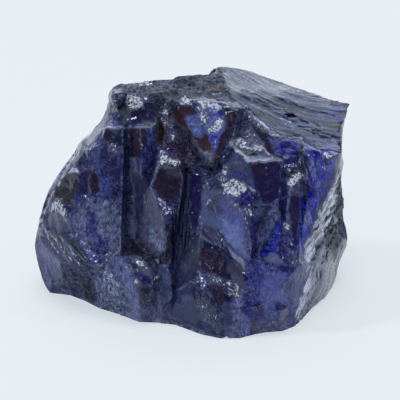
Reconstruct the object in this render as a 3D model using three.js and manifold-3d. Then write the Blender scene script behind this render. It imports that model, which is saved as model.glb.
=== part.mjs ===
// A rough sapphire: one solid lump of broken crystal, about 63 mm wide, resting on its flat base.
// Millimetres, +Z up. The origin is on the resting plane, under the middle of the lump.
//
// The surface is drawn by its creases: the ridges where two facets meet, the valleys between the
// columns, and the edges of the ledges. Between them the facets are stretched like a soap film.

import * as THREE from "three";
import { ConvexHull } from "three/addons/math/ConvexHull.js";
import { mergeVertices } from "three/addons/utils/BufferGeometryUtils.js";
import Module from "manifold-3d";

// ---------------------------------------------------------------- driving dimensions, mm

const LEAN = THREE.MathUtils.degToRad(20); // the front is laid out on a plane that leans back by this
const REST = 19.5; // height of the layout's origin above the resting plane
const UNFOLD = 40; // radius on the layout that unfolds to the edge between front and back

const CREASE_STEP = 2.6; // longest segment of a crease
const SHORTEST = 0.5; // segments are not halved below this
const SAME = 0.4; // crease points nearer than this, seen from the front, are one
const SEGMENT_PASSES = 8;

const SKIRT_STEP = 1.6; // spacing of the film points that follow the outline
const FRONT_PITCH = 1.8; // grid of the film points on the front
const BACK_PITCH = 4;
const FILM_CLEAR = 0.8; // clearance of the film points from the crease points, in pitches
const FILM_PASSES = 200;
const SIDE_EDGE = 4; // longer edges between front and back are split
const SIDE_PASSES = 6;

// ---------------------------------------------------------------- creases
// Front creases are [across, up, out] on the leaning layout plane.

const LEFT_FLANK = {
  rim: [[-30, -18.8, -6], [-31.4, -16.8, -7], [-33, -11.2, -8], [-33.2, -8.6, -8], [-31.6, -1.2, -8],
    [-30.4, 2, -8], [-28.4, 5.4, -8], [-26, 8.6, -8], [-24, 11, -8], [-22, 13.4, -7], [-20, 16.4, -4],
    [-18.4, 18.6, -2]],
  arris: [[-18.4, 18, 0], [-19.4, 14.4, 5], [-22, 11.4, 3.5], [-24, 8.6, 3], [-25.4, 6.2, 3],
    [-28.6, 3.4, -1.5], [-30, 0.4, -3.5], [-31.4, -3.4, -5.5], [-32.6, -6.4, -6.5]],
  diagonal: [[-32.6, -6.4, -6.5], [-30, -7.2, -1], [-28, -8.6, 2.5], [-24, -12.4, 7], [-20, -13.4, 9.5],
    [-17.4, -12.4, 11], [-16, -11.4, 11.5]],
  violetEdge: [[-28, -8.6, 2.5], [-27.6, -12.4, 1.5], [-27.6, -15.6, -0.5], [-27.4, -18.6, -4.8]],
  oliveFoot: [[-30, 0.4, -3.5], [-28.8, -0.2, 0.5], [-25.6, -0.4, 4.5], [-23, 0.6, 6.5], [-20.4, 0, 8]],
  chipLedge: [[-29.6, -2.4, -1], [-28, -3.4, 2.2], [-26.2, -4, 5]],
  streak: [[-22.4, 10, 5.5], [-22.2, 6, 6.2], [-22.4, 1.2, 7]],
};

const BASE_EDGE = {
  front: [[-30, -18.8, -6], [-26, -19.2, -4.5], [-23, -20.2, -1.5], [-20, -21.8, 2.5], [-16, -22.8, 5.5],
    [-12.4, -24.4, 9.3], [-9, -24.6, 9.8], [-5, -25, 11], [0, -26.8, 15.8], [4, -27.6, 18],
    [8, -27.6, 18], [11, -26.8, 15.8], [13, -26.4, 14.8], [16.4, -26.2, 14.2], [18.6, -25.2, 12],
    [21.2, -23, 5.5], [23.6, -20.8, -1], [25.8, -17.8, -8.9], [27.5, -15, -16.5]],
};

const COLUMNS = {
  oneTop: [[-18.8, 14.4, 7], [-17, 14.4, 8.5], [-15.4, 14.4, 8.5]],
  oneLeft: [[-18.8, 14.4, 7], [-19.8, 11, 7.5], [-20, 7, 8], [-20, 2, 8.5], [-20.4, 0, 8]],
  oneRight: [[-15.4, 14.4, 8.5], [-15.2, 10, 9], [-15.4, 5, 9.5], [-15.6, 0, 10], [-15.8, -5, 10.5],
    [-15.8, -10, 11], [-16, -11.4, 11.5]],
  grooveOne: [[-14.8, 13.8, 6.6], [-14.6, 10, 6.6], [-14.6, 4, 6.8], [-14.8, -2, 7.2],
    [-14.8, -7, 7.8], [-14.6, -10, 8.6]],
  twoTop: [[-14.2, 14.4, 7], [-12, 14.4, 8.5], [-9.6, 14.4, 8.5], [-8.6, 13.8, 7]],
  twoLeft: [[-14.2, 14.4, 7], [-13.8, 10, 8], [-13.6, 5, 8], [-13, 1, 8]],
  twoRidge: [[-12, 14.4, 8.5], [-11.6, 10, 9.5], [-11.6, 6, 9.8], [-11.8, 1.6, 9.5]],
  twoValley: [[-8.6, 13.8, 7], [-8.8, 11, 7.4], [-9.4, 7, 8], [-10.2, 3, 9.4]],
  prismArris: [[-7.4, 9, 9.5], [-8.6, 6.4, 12], [-9.8, 2.8, 12.5], [-8.6, 0, 13.2], [-7.2, -4.4, 13.8],
    [-6.8, -8, 13.5], [-8, -10.8, 11.5]],
  prismLeft: [[-9.8, 2.8, 12.5], [-11.8, 1.2, 9.8], [-12.6, -2.4, 8.5], [-12, -7, 9], [-10.8, -9.4, 9.8],
    [-8.4, -11.4, 10.5]],
  prismTop: [[-7.4, 9, 9.5], [-5.6, 8, 10.5], [-4, 7.2, 10]],
  prismBrow: [[-8.6, 6.4, 12], [-6.4, 6.4, 12.5], [-4, 6.4, 11.8]],
  prismRight: [[-4, 6.4, 11.8], [-3.4, 4, 11], [-3.8, 0, 11], [-4.8, -5, 11.5], [-5.4, -9, 11.5],
    [-5.8, -12.4, 12]],
  mainValley: [[-2.4, 6.4, 8.6], [-3, 3, 8.8], [-3.4, -1, 9], [-4, -6, 9.6], [-4.4, -10, 10.2],
    [-4.8, -14, 11], [-5, -18, 11.6], [-5.4, -20, 11.8], [-5.6, -23.6, 11]],
  rightArris: [[1, 4.8, 11.5], [0.8, 3, 13], [0.6, -1, 13.8], [0.4, -5, 14.2], [-0.2, -8, 14.6],
    [-0.4, -11.6, 15], [0, -14, 15.4], [-0.6, -16.2, 15.8]],
  valleyFacet: [[-1.6, -6, 11.8], [-2, -10, 12.4], [-2.6, -14, 13.2], [-3, -16.8, 13.8]],
};

const LEFT_FOOT = {
  shelf: [[-14.6, -10, 8.6], [-12, -10.4, 9.2], [-9.6, -11.2, 10], [-8.4, -11.4, 10.5]],
  lobeBrow: [[-16, -11.4, 11.5], [-14, -11.2, 12], [-11, -11.6, 12.5], [-9.8, -13.4, 13], [-9.4, -17, 13],
    [-9.6, -21, 12], [-9.8, -24.2, 9.8]],
  lobeLeft: [[-17.4, -12.4, 11], [-15, -16.4, 12.5], [-12.8, -20, 12.2], [-12, -24, 9.7]],
  lobeRidge: [[-14, -11.2, 12], [-13.2, -13.6, 14], [-12, -17, 14.2], [-11, -21.6, 12.5]],
  grooveTwo: [[-8.4, -11.4, 10.5], [-8.8, -14, 11.2], [-8.6, -18, 11.4], [-8.4, -22, 11],
    [-8.2, -24.4, 9.9]],
  brownRidge: [[-7.4, -12.4, 12], [-5.8, -15, 13], [-5.6, -18, 13], [-6.4, -20, 12.5], [-6.8, -23.6, 11]],
};

const WEDGE = {
  top: [[-4.8, 18.8, 6.5], [-1, 19.4, 7], [4.4, 19.4, 6.5], [8.2, 18.4, 3]],
  left: [[-4.8, 18.8, 6.5], [-2.8, 15.6, 8], [-1, 12.4, 9.5], [0.4, 9.2, 11]],
  right: [[8.2, 18.4, 3], [7.4, 15.6, 6], [6.2, 11.6, 9], [4, 8.4, 11]],
  tip: [[0.4, 9.2, 11], [2, 8.8, 12], [4, 8.4, 11]],
  tipFoot: [[1, 7.4, 10.5], [2.4, 6.6, 10.2], [3.6, 7.2, 10.2]],
  recess: [[0, 6.8, 9], [2.4, 5.8, 9.4], [4.6, 6.8, 9.6]],
  leftValley: [[-5.4, 18.4, 5.4], [-4, 15, 6.6], [-2.4, 11, 8], [-0.6, 8, 8.9]],
  rightGroove: [[8.6, 17.6, 2.2], [8, 14, 5.4], [6.8, 10.8, 8], [5.2, 7.6, 9.6]],
  sideRidge: [[-6.4, 18, 5.5], [-6.4, 14, 7.5], [-6, 10, 8.8], [-4.8, 8.4, 9.8]],
  sideValley: [[-7.8, 18, 4.6], [-7.8, 14, 6.2], [-7.8, 10.4, 8]],
};

const RIGHT_FRONT = {
  topArris: [[7.6, 20, -1], [9.2, 18.4, 1], [10.4, 16.4, 3.6], [12.4, 14.6, 5.4], [14.4, 12.8, 7.3],
    [17, 12.4, 6.3], [20, 11.4, 6.2], [22, 10.2, 7], [25, 9.4, 6.5], [28.2, 9.8, 3.8]],
  silverBack: [[7.4, 10.6, 8.5], [8.6, 12, 6.8], [10.4, 11.4, 8], [12.6, 10.4, 9.3], [15, 8.4, 10.8]],
  silverFront: [[7.4, 10.6, 8.5], [8, 8.6, 11], [9.8, 7.4, 12.6], [12.4, 7.2, 12.8], [15, 7.8, 12.2]],
  violetLeft: [[14.4, 12.8, 7.3], [14.4, 10, 9.3], [16.4, 8, 11], [20.4, 8.6, 9]],
  violetRight: [[20, 11.4, 6.2], [20.4, 8.6, 9]],
  purpleRight: [[16, 7.4, 12.3], [16, 4, 12.8], [15.8, 0.4, 13], [14.4, -1.2, 13.5]],
  purpleLeft: [[9.8, 7.4, 12.6], [10.8, 4, 13.4], [11.4, 2, 14], [12.8, -1, 14.4]],
  greyLeft: [[8, 8.6, 11], [5.8, 8, 10], [4.2, 5.6, 11.5], [4.4, 2.6, 13]],
  greyFoot: [[4.4, 2.6, 13], [7, 3.4, 14], [11.2, 2.2, 14]],
  chipFoot: [[4.8, 1.6, 14.5], [6.4, 0.4, 15.5], [8.8, 0.6, 15.5], [10.4, 1.6, 14.8]],
  bulge: [[6.4, 0.4, 15.5], [8, -2, 16.8], [9.6, -5.6, 17.5], [10.2, -9, 17.3], [10, -11.6, 16.3]],
  bulgeFoot: [[0.6, -5.6, 14.3], [3.8, -8, 16], [7, -11.2, 17], [9.6, -13.6, 17]],
  crack: [[1.2, -7.2, 14], [4.4, -10, 15.2], [7.2, -13.2, 16], [9.4, -15.6, 16.5]],
  darkValley: [[13.6, -1.6, 12.8], [12.4, -4, 12], [12, -7, 12.3], [11.4, -10, 13.5]],
  blueRight: [[16.2, 0, 12.8], [16.2, -4.4, 13], [15.8, -8, 14]],
  maroonLeft: [[17.6, 2.6, 13], [17.4, -1, 14], [17, -6, 15], [15.8, -9.6, 15.8], [16.8, -12.4, 16.3]],
  maroonRight: [[18.6, 1, 12.5], [18.8, -5, 13], [18.4, -10, 14.8], [18.2, -12.8, 16]],
  darkGroove: [[19.6, 1, 11.6], [19.6, -5, 12.4], [19.4, -10, 13.8]],
  litRidge: [[22.4, 4, 11], [21.2, -1, 12.2], [20.8, -6, 12.2], [20, -10.4, 12.8]],
  chipBack: [[17.4, 3.8, 12.8], [19.2, 4.8, 11.5], [21, 5.6, 10]],
  chipFront: [[17.8, 2.4, 13.3], [20, 3.2, 12.8], [21.6, 4.4, 11.3]],
  violetA: [[21, 10, 8.3], [22, 7.4, 9.5], [22.4, 4, 11]],
  violetB: [[24, 9.6, 8], [24.8, 7, 9.5], [25.2, 4, 8.5]],
  violetC: [[26.6, 9, 7], [26.4, 7, 7.3], [26.8, 4.4, 5.5]],
  corner: [[28.2, 9.8, 3.8], [27.6, 5.6, 4], [26, 1, 5.5], [23.6, -4.4, 8], [20.6, -11.6, 11],
    [22, -12.8, 8.5], [21.2, -17, 10], [20, -21, 11.5], [18.6, -25.2, 12]],
};

const LOWER_LOBE = {
  ledge: [[10, -11.6, 16.3], [12.4, -11.6, 16], [15, -12, 16.8], [17.6, -13.2, 17.3], [19.4, -12.4, 15],
    [20.6, -11.6, 11]],
  brow: [[9.6, -13.6, 17], [12.4, -14.4, 18], [15.6, -15.2, 18.5], [18, -15, 17.5], [20.8, -13.6, 12.5]],
  belly: [[12.4, -18, 19], [16, -18, 18.6], [18.8, -20, 14.8]],
  foot: [[12.4, -22, 18.3], [16, -22, 17.3]],
  left: [[9.6, -13.6, 17], [9.4, -17, 17.8], [9.2, -19.6, 18.3], [7.6, -22.4, 19], [6, -26, 19]],
  maroon: [[0.6, -8.6, 14.8], [3.6, -10.4, 15.6], [5.2, -12.6, 16.3], [3.6, -15.2, 16.8], [0.6, -14.6, 16]],
  chipsBack: [[1, -15.2, 16.3], [4, -15.6, 17], [6.8, -17.6, 17.8], [9.2, -19.6, 18.3]],
  chipsFront: [[1.6, -16.8, 18], [5, -18.2, 19], [8, -20.4, 19.3]],
  triangle: [[1.6, -16.8, 18], [3.8, -21.2, 19.3], [5, -18.2, 19]],
  greyTop: [[-5.6, -20, 12.3], [-3, -16.8, 13.8], [-0.6, -16.2, 15.8]],
  greyRight: [[-0.6, -16.2, 15.8], [-0.2, -19, 17], [1.2, -21.2, 17.8], [3, -24, 18.6], [5.4, -26.8, 18.5]],
};

const CRUST = {
  back: [[-15, 23.2, -3], [-12, 23.6, -5], [-10, 24, -6], [-5.6, 24.2, -7], [-4.4, 25, -8], [0, 25.2, -8.5],
    [2.8, 25.6, -7.8]],
  front: [[-14.4, 22, 0], [-10, 21.4, 3], [-7, 20.6, 4.5], [-4.8, 19.6, 6], [-1, 19.8, 6.5],
    [4.4, 19.8, 5.5], [7.6, 20, -1]],
  right: [[2.8, 25.6, -7.8], [5, 23, -4.6], [7.6, 20, -1]],
  knobTop: [[-18.4, 18.6, -2], [-18, 21.6, -0.5], [-17.4, 22.6, -1.5], [-16.2, 23.2, -2.5],
    [-15, 23.2, -3]],
  knobSide: [[-17.8, 20, 0.5], [-18, 18.8, 1], [-16.4, 18.2, 3.2], [-15, 19, 2], [-14.8, 21, 1.5]],
  knobNose: [[-16.6, 21, 3.5]],
  chipsBack: [[-14.4, 20.6, 2], [-12.6, 21.2, 3], [-11.2, 20.2, 3.8]],
  chipsFront: [[-14, 18.2, 5], [-11.6, 18.4, 6]],
  dark: [[-13.8, 17.8, 5.2], [-10.8, 17.6, 6], [-10, 15.8, 7], [-13.2, 15, 6.8]],
  left: [[-15.2, 18, 3], [-14.6, 16, 5], [-14.6, 14.6, 6]],
};

// The top face lies near the plane out = TOP_OUT - TOP_ACROSS * across - TOP_UP * up.
const TOP_OUT = 38.3;
const TOP_ACROSS = 0.625;
const TOP_UP = 1.722;

function onTop(across, up, lift) {
  return [across, up, TOP_OUT - TOP_ACROSS * across - TOP_UP * up + lift];
}

const TOP_FACE = {
  rim: [[3.2, 26.6, -11.5], [6.4, 26.8, -12], [10, 26, -12.8], [18, 23.2, -14.5], [23.6, 21.2, -14.6],
    [26, 20.2, -14.2], [30.2, 19.4, -14]],
  rimFoot: [[4.4, 24.8, -7.8], [10, 24, -10], [18, 21.6, -10.8], [25, 19.8, -12]],
  end: [[30.2, 19.4, -14], [29.6, 17.6, -10.5], [28.6, 15.6, -6.4], [28.4, 13, -1.9], [28.2, 9.8, 3.8]],
  endLeft: [[28, 18.8, -11.6], [27, 16.8, -7.4], [27, 14.6, -3.8]],
};

// Growth lines cross the top face: each is a low ridge with a valley along its front.
const LINE_LIFT = 0.2; // ridge above the plane, and valley below it
const LINE_WIDTH = 1.2; // ridge to valley, along up
const GROWTH_LINES = [
  [[11.6, 22.4], [16, 20.8], [20, 19.4], [25.8, 17.4]],
  [[8.4, 21.6], [12, 20], [17, 17.5], [22, 15.3], [26.2, 13.9]],
  [[10.4, 17.9], [14, 16.1], [19, 14.2], [24, 12.4], [27.4, 11.7]],
];
for (const [i, line] of GROWTH_LINES.entries()) {
  TOP_FACE[`ridge${i}`] = line.map(([across, up]) => onTop(across, up, LINE_LIFT));
  TOP_FACE[`valley${i}`] = line.map(([across, up]) =>
    onTop(across + LINE_WIDTH / 2, up - LINE_WIDTH, -LINE_LIFT));
}

const RIGHT_SIDE = {
  outer: [[28.2, 9.8, 3.8], [28.3, 8.4, -1], [28.9, 7.4, -5], [28.5, 5.4, -7], [28, 4.2, -8],
    [28.5, 3, -9.5], [28.4, 1.2, -11.5], [29, -0.2, -12], [29, -2, -12], [28.8, -3.6, -12.3],
    [29.6, -6, -12.6], [29.8, -8, -13.2], [29.3, -9.8, -14], [28.2, -12.4, -15], [27.5, -15, -16.5]],
  crackTop: [[21.6, -12.3, 8.6], [23.2, -11, 6], [24, -9.6, 3.6], [25.7, -6.8, -0.6], [28.2, -3.2, -8.6]],
  crackFoot: [[22.6, -12.5, 6.4], [24.4, -10.6, 2], [26.2, -7.6, -3], [28.4, -4.4, -10.4]],
  lowerRidge: [[25.8, -9.2, -0.4], [25.2, -12.4, 0.4], [24.6, -15, 1], [24.2, -18, -0.2]],
  lowerValley: [[27, -9, -5.6], [26.4, -12.6, -4.6], [25.8, -16, -4.8]],
  upperRidge: [[26.8, -0.6, -0.5], [25.2, -4, 2.8], [23.4, -7.4, 5.6]],
  upperValley: [[27.8, 2.4, -4], [26.8, -2, -3.2], [25.6, -4.8, -0.2]],
};

// The pit in the top face: [across, up, out, wide, high, deep].
const PIT = [18.5, 16.8, -2.2, 2.6, 1, 2.4];

// Angular crumbs of crust, scattered over the flat top between these x and y.
const CRUMBS = 30;
const CRUMBS_X = [-15.5, 4.5];
const CRUMBS_Y = [2, 13.5];
const CRUMB_SIZE = [1.2, 2.8];
const CRUMB_SHAPE = [1, 0.7, 0.8];
const CRUMB_FLAT = 0.6; // height over width
const CRUMB_SUNK = 0.18; // centre below the surface, in crumb sizes
const SCATTER = 0.618; // fraction of the range from one crumb to the next

// Back creases are [x, y, z] above the resting plane.
const BACK = {
  baseEdge: [[-29, 6, -0.3], [-25, 13, -0.3], [-14, 19, -0.3], [-8, 17, -0.3],
    [-2, 19.4, -0.3], [1, 21, -0.3], [9, 19.5, -0.3], [17, 21, -0.3], [25, 18, -0.3]],
  leftRidge: [[-21, 17.5, 27.5], [-25, 15, 20], [-27.5, 12, 9], [-29, 6, -0.3]],
  leftLedge: [[-25, 15, 20], [-20, 19.5, 19], [-14, 23, 20]],
  cornerRidge: [[-10.5, 17.5, 35.5], [-12, 19.5, 31], [-14, 23, 20], [-15.5, 22, 9], [-14, 19, -0.3]],
  scarLeft: [[-2, 18, 37.5], [-5, 20, 31], [-8.5, 21, 21], [-9, 19.5, 9], [-8, 17, -0.3]],
  scarRight: [[4, 21.5, 37.5], [3.5, 23.5, 30], [0, 25.5, 22], [-3, 24.5, 12], [-2, 19.4, -0.3]],
  scarFoot: [[-8.5, 21, 21], [-5, 22, 19.5], [0, 25.5, 22]],
  rightValley: [[12, 22, 36], [10, 22.5, 29], [7.5, 24, 18], [9, 22.5, 7], [9, 19.5, -0.3]],
  rightRidge: [[21, 23.5, 33], [19.5, 26, 27], [15, 27, 18], [17, 25, 8], [17, 21, -0.3]],
  rightLedge: [[19.5, 26, 27], [24, 24.5, 24], [28, 22, 24]],
  corner: [[29.6, 21.2, 30], [28.8, 21.6, 27.5], [28, 22, 24], [27, 21.5, 9], [25, 18, -0.3]],
};

// ---------------------------------------------------------------- the net of points

const toFrame = new THREE.Matrix4()
  .makeTranslation(0, 0, REST)
  .multiply(new THREE.Matrix4().makeRotationX(Math.PI / 2 - LEAN));
const toLayout = toFrame.clone().invert();

const FRONT = 1;
const SIDE = 0;
const REAR = -1;

// Where a layout point lies on the unit ball that the stone unfolds to. The front fills one half of the
// ball and the rear the other.
function unfold(across, up, half) {
  const flat = new THREE.Vector2(across, up).divideScalar(UNFOLD);
  const far = flat.lengthSq();
  return new THREE.Vector3(2 * flat.x, 2 * flat.y, half * (1 - far)).divideScalar(1 + far);
}

// Every point has its place on the layout and its direction on the ball. Fixed points stay where they are
// when the film relaxes. Front and rear film points move only in and out, and side points move freely.
const points = [];

// Adds a point and gives its index. A point that unfolds next to a known one is that one.
function addPoint(place, direction, half, fixed) {
  const known = points.findIndex((point) => point.direction.distanceTo(direction) < SAME / UNFOLD);
  if (known >= 0) return known;
  points.push({ place, direction, half, fixed });
  return points.length - 1;
}

// Adds the middle of two points and gives its index.
function addMiddle(from, to, fixed) {
  const [a, b] = [points[from], points[to]];
  const half = a.half === b.half ? a.half : SIDE;
  const place = a.place.clone().lerp(b.place, 0.5);
  const between = a.direction.clone().add(b.direction).normalize();
  const direction = half === SIDE ? between : unfold(place.x, place.y, half);
  points.push({ place, direction, half, fixed });
  return points.length - 1;
}

// Adds a crease and gives its segments, each as the indices of its two ends.
function addCrease(corners, half) {
  const ends = corners.map((corner) => addPoint(corner, unfold(corner.x, corner.y, half), half, true));
  return ends
    .slice(1)
    .map((end, i) => [ends[i], end])
    .filter(([from, to]) => from !== to);
}

const frontRegions = [
  LEFT_FLANK,
  BASE_EDGE,
  COLUMNS,
  LEFT_FOOT,
  WEDGE,
  RIGHT_FRONT,
  LOWER_LOBE,
  CRUST,
  TOP_FACE,
  RIGHT_SIDE,
];
const toPoints = (corners) => corners.map((corner) => new THREE.Vector3(...corner));
const frontCreases = frontRegions.flatMap((region) => Object.values(region)).map(toPoints);
const rearCreases = Object.values(BACK)
  .map(toPoints)
  .map((corners) => corners.map((corner) => corner.applyMatrix4(toLayout)));
let segments = [
  ...frontCreases.flatMap((corners) => addCrease(corners, FRONT)),
  ...rearCreases.flatMap((corners) => addCrease(corners, REAR)),
];

// The outline seen from the front, anticlockwise from the left foot.
const outline = toPoints([
  ...BASE_EDGE.front,
  ...RIGHT_SIDE.outer.toReversed(),
  ...TOP_FACE.end.toReversed(),
  ...TOP_FACE.rim.toReversed(),
  ...CRUST.back.toReversed(),
  ...CRUST.knobTop.toReversed(),
  ...LEFT_FLANK.rim.toReversed(),
]).filter((corner, i, all) => corner.distanceTo(all.at(i - 1)) > SAME);

// Whether a layout point is inside the outline: a line to the right crosses it an odd number of times.
function inside(across, up) {
  const crossed = outline.filter((a, i) => {
    const b = outline[(i + 1) % outline.length];
    const spans = a.y > up !== b.y > up;
    return spans && across < a.x + ((b.x - a.x) * (up - a.y)) / (b.y - a.y);
  });
  return crossed.length % 2 === 1;
}

// Behind the outline the surface turns away: a skirt of film points follows it.
for (const [i, from] of outline.entries()) {
  const to = outline[(i + 1) % outline.length];
  const steps = Math.ceil(from.distanceTo(to) / SKIRT_STEP);
  const outward = new THREE.Vector3(to.y - from.y, from.x - to.x, 0).normalize();
  for (let step = 0; step < steps; step++) {
    const place = from.clone().lerp(to, (step + 0.5) / steps);
    const beyond = place.clone().addScaledVector(outward, SKIRT_STEP);
    place.z -= SKIRT_STEP;
    addPoint(place, unfold(beyond.x, beyond.y, FRONT), SIDE, false);
  }
}

// Triangles over the points, as three indices each: the hull of their directions.
function netOver() {
  const index = new Map(points.map((point, i) => [point.direction, i]));
  const hull = new ConvexHull().setFromPoints(points.map((point) => point.direction));
  return hull.faces.flatMap(({ edge }) =>
    [edge, edge.next, edge.next.next].map((side) => index.get(side.head().point)),
  );
}

// Each edge of the net once, as [lower index, higher index].
function edgesOf(net) {
  const edges = [];
  for (let first = 0; first < net.length; first += 3) {
    const [a, b, c] = net.slice(first, first + 3);
    edges.push(...[[a, b], [b, c], [c, a]].filter(([from, to]) => from < to));
  }
  return edges;
}

// Halves the segments until each is short and is an edge of the net.
function keepSegments() {
  for (let pass = 0; pass < SEGMENT_PASSES; pass++) {
    const edges = new Set(edgesOf(netOver()).map(([from, to]) => `${from} ${to}`));
    const known = segments.length;
    segments = segments.flatMap(([from, to]) => {
      const [a, b] = [points[from].place, points[to].place];
      const kept = edges.has(`${Math.min(from, to)} ${Math.max(from, to)}`);
      const lost = !kept && Math.hypot(a.x - b.x, a.y - b.y) > SHORTEST;
      if (!lost && a.distanceTo(b) < CREASE_STEP) return [[from, to]];
      const middle = addMiddle(from, to, true);
      return [[from, middle], [middle, to]];
    });
    if (segments.length === known) return;
  }
}
keepSegments();

// Adds a film point, unless it crowds a crease point or stands in the circle over a segment, where it
// would keep the segment from being an edge of the net.
function addFilm(across, up, half, pitch, creasePoints) {
  const place = new THREE.Vector3(across, up, 0);
  const direction = unfold(across, up, half);
  const clear = (pitch * FILM_CLEAR) / UNFOLD;
  if (creasePoints.some((point) => point.direction.distanceTo(direction) < clear)) return;
  const inCircle = segments.some(([from, to]) => {
    const [a, b] = [points[from], points[to]];
    if (a.half !== half || b.half !== half) return false;
    return (across - a.place.x) * (across - b.place.x) + (up - a.place.y) * (up - b.place.y) < 0;
  });
  if (!inCircle) points.push({ place, direction, half, fixed: false });
}

// Film points fill the facets on a grid of triangles.
const creasePoints = [...points];
for (const [half, pitch] of [[FRONT, FRONT_PITCH], [REAR, BACK_PITCH]]) {
  const rowStep = (pitch * Math.sqrt(3)) / 2;
  const rows = Math.ceil((2 * UNFOLD) / rowStep);
  for (let row = 0; row < rows; row++) {
    const up = row * rowStep - UNFOLD;
    const shift = (row % 2) * (pitch / 2);
    for (let across = shift - UNFOLD; across < UNFOLD; across += pitch)
      if (inside(across, up)) addFilm(across, up, half, pitch, creasePoints);
  }
}
keepSegments();

// The film relaxes: its points slide to the middle of their neighbours.
function relax(net) {
  const edges = edgesOf(net);
  for (let pass = 0; pass < FILM_PASSES; pass++) {
    const sums = points.map(() => new THREE.Vector3());
    const counts = points.map(() => 0);
    for (const [from, to] of edges) {
      sums[from].add(points[to].place);
      sums[to].add(points[from].place);
      counts[from]++;
      counts[to]++;
    }
    for (const [i, point] of points.entries()) {
      if (point.fixed) continue;
      const middle = sums[i].divideScalar(counts[i]);
      if (point.half === SIDE) point.place.copy(middle);
      else point.place.z = middle.z;
    }
  }
}

// Long edges around the sides are split as the film settles.
let net = netOver();
relax(net);
for (let pass = 0; pass < SIDE_PASSES; pass++) {
  const long = edgesOf(net).filter(([from, to]) => {
    const [a, b] = [points[from], points[to]];
    return (a.half !== b.half || a.half === SIDE) && a.place.distanceTo(b.place) > SIDE_EDGE;
  });
  if (long.length === 0) break;
  for (const [from, to] of long) addMiddle(from, to, false);
  net = netOver();
  relax(net);
}

const lump = new THREE.BufferGeometry().setFromPoints(points.map((point) => point.place));
lump.setIndex(net);
lump.applyMatrix4(toFrame);

// ---------------------------------------------------------------- pit, crumbs and flat base

const wasm = await Module();
wasm.setup();

function solid(geometry) {
  const bare = geometry.clone();
  bare.deleteAttribute("normal");
  bare.deleteAttribute("uv");
  const merged = mergeVertices(bare, 1e-4);
  return new wasm.Manifold(new wasm.Mesh({
    numProp: 3,
    vertProperties: new Float32Array(merged.getAttribute("position").array),
    triVerts: new Uint32Array(merged.index.array),
  }));
}

const pit = new THREE.IcosahedronGeometry(0.5, 1);
pit.scale(...PIT.slice(3));
pit.translate(...PIT.slice(0, 3));
pit.applyMatrix4(toFrame);
let body = solid(lump).subtract(solid(pit));

const surface = new THREE.Mesh(lump, new THREE.MeshBasicMaterial({ side: THREE.DoubleSide }));
const down = new THREE.Vector3(0, 0, -1);
for (let i = 0; i < CRUMBS; i++) {
  const x = THREE.MathUtils.lerp(...CRUMBS_X, (i * SCATTER) % 1);
  const y = THREE.MathUtils.lerp(...CRUMBS_Y, (i + 0.5) / CRUMBS);
  const size = THREE.MathUtils.lerp(...CRUMB_SIZE, (i * SCATTER * 3) % 1);
  const [hit] = new THREE.Raycaster(new THREE.Vector3(x, y, 2 * UNFOLD), down).intersectObject(surface);
  const crumb = new THREE.IcosahedronGeometry(size / 2, 0);
  crumb.scale(...CRUMB_SHAPE);
  crumb.rotateX(i);
  crumb.rotateZ(2 * i);
  crumb.scale(1, 1, CRUMB_FLAT);
  crumb.translate(x, y, hit.point.z - CRUMB_SUNK * size);
  body = body.add(solid(crumb));
}

// Everything below the resting plane is cut away.
const BLOCK = 200;
const block = new THREE.BoxGeometry(BLOCK, BLOCK, BLOCK);
block.translate(0, 0, -BLOCK / 2);
const cut = body.subtract(solid(block)).getMesh();

const stone = new THREE.BufferGeometry();
stone.setAttribute("position", new THREE.BufferAttribute(cut.vertProperties, 3));
stone.setIndex(new THREE.BufferAttribute(cut.triVerts, 1));
stone.computeBoundingBox();
const middle = stone.boundingBox.getCenter(new THREE.Vector3());
stone.translate(-middle.x, -middle.y, 0);

// ---------------------------------------------------------------- the part

const sapphire = new THREE.Mesh(
  stone,
  new THREE.MeshStandardMaterial({ color: 0x1c1a4a, roughness: 0.12, metalness: 0 }),
);
sapphire.name = "rough_sapphire";

const part = new THREE.Group();
part.add(sapphire);
export default part;
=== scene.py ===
"""Looks of the rough sapphire. Metres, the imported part's frame: +X right, +Y away, +Z up."""

import math

import bmesh
import bpy
import numpy as np
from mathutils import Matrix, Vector


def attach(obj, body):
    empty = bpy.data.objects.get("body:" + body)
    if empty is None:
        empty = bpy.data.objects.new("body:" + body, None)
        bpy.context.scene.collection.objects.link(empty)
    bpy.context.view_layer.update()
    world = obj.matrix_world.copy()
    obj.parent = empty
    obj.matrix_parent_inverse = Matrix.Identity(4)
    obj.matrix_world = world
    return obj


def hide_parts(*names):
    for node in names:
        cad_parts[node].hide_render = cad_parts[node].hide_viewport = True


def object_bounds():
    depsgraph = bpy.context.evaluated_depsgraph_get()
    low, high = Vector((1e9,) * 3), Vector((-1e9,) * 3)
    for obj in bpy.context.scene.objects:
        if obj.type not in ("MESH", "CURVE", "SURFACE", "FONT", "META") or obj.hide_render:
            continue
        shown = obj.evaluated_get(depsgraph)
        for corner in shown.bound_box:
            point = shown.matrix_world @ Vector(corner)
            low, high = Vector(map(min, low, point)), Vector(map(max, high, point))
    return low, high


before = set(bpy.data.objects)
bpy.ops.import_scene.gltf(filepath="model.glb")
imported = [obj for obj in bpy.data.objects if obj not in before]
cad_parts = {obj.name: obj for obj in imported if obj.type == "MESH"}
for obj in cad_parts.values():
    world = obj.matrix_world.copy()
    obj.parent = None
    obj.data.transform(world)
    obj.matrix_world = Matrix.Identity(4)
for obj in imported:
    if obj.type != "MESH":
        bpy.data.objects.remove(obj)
cad_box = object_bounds()

MM = 0.001

# ---------------------------------------------------------------- layout
# The stone is described on a plane that leans back by LEAN: across to the right, up along the plane and
# out towards the front, in mm, from LAYOUT_ORIGIN.

LEAN = math.radians(20)
LAYOUT_ORIGIN = Vector((1.5, -0.127, 19.5))
TOWARD_FRONT = Vector((0, -math.cos(LEAN), math.sin(LEAN)))


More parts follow.
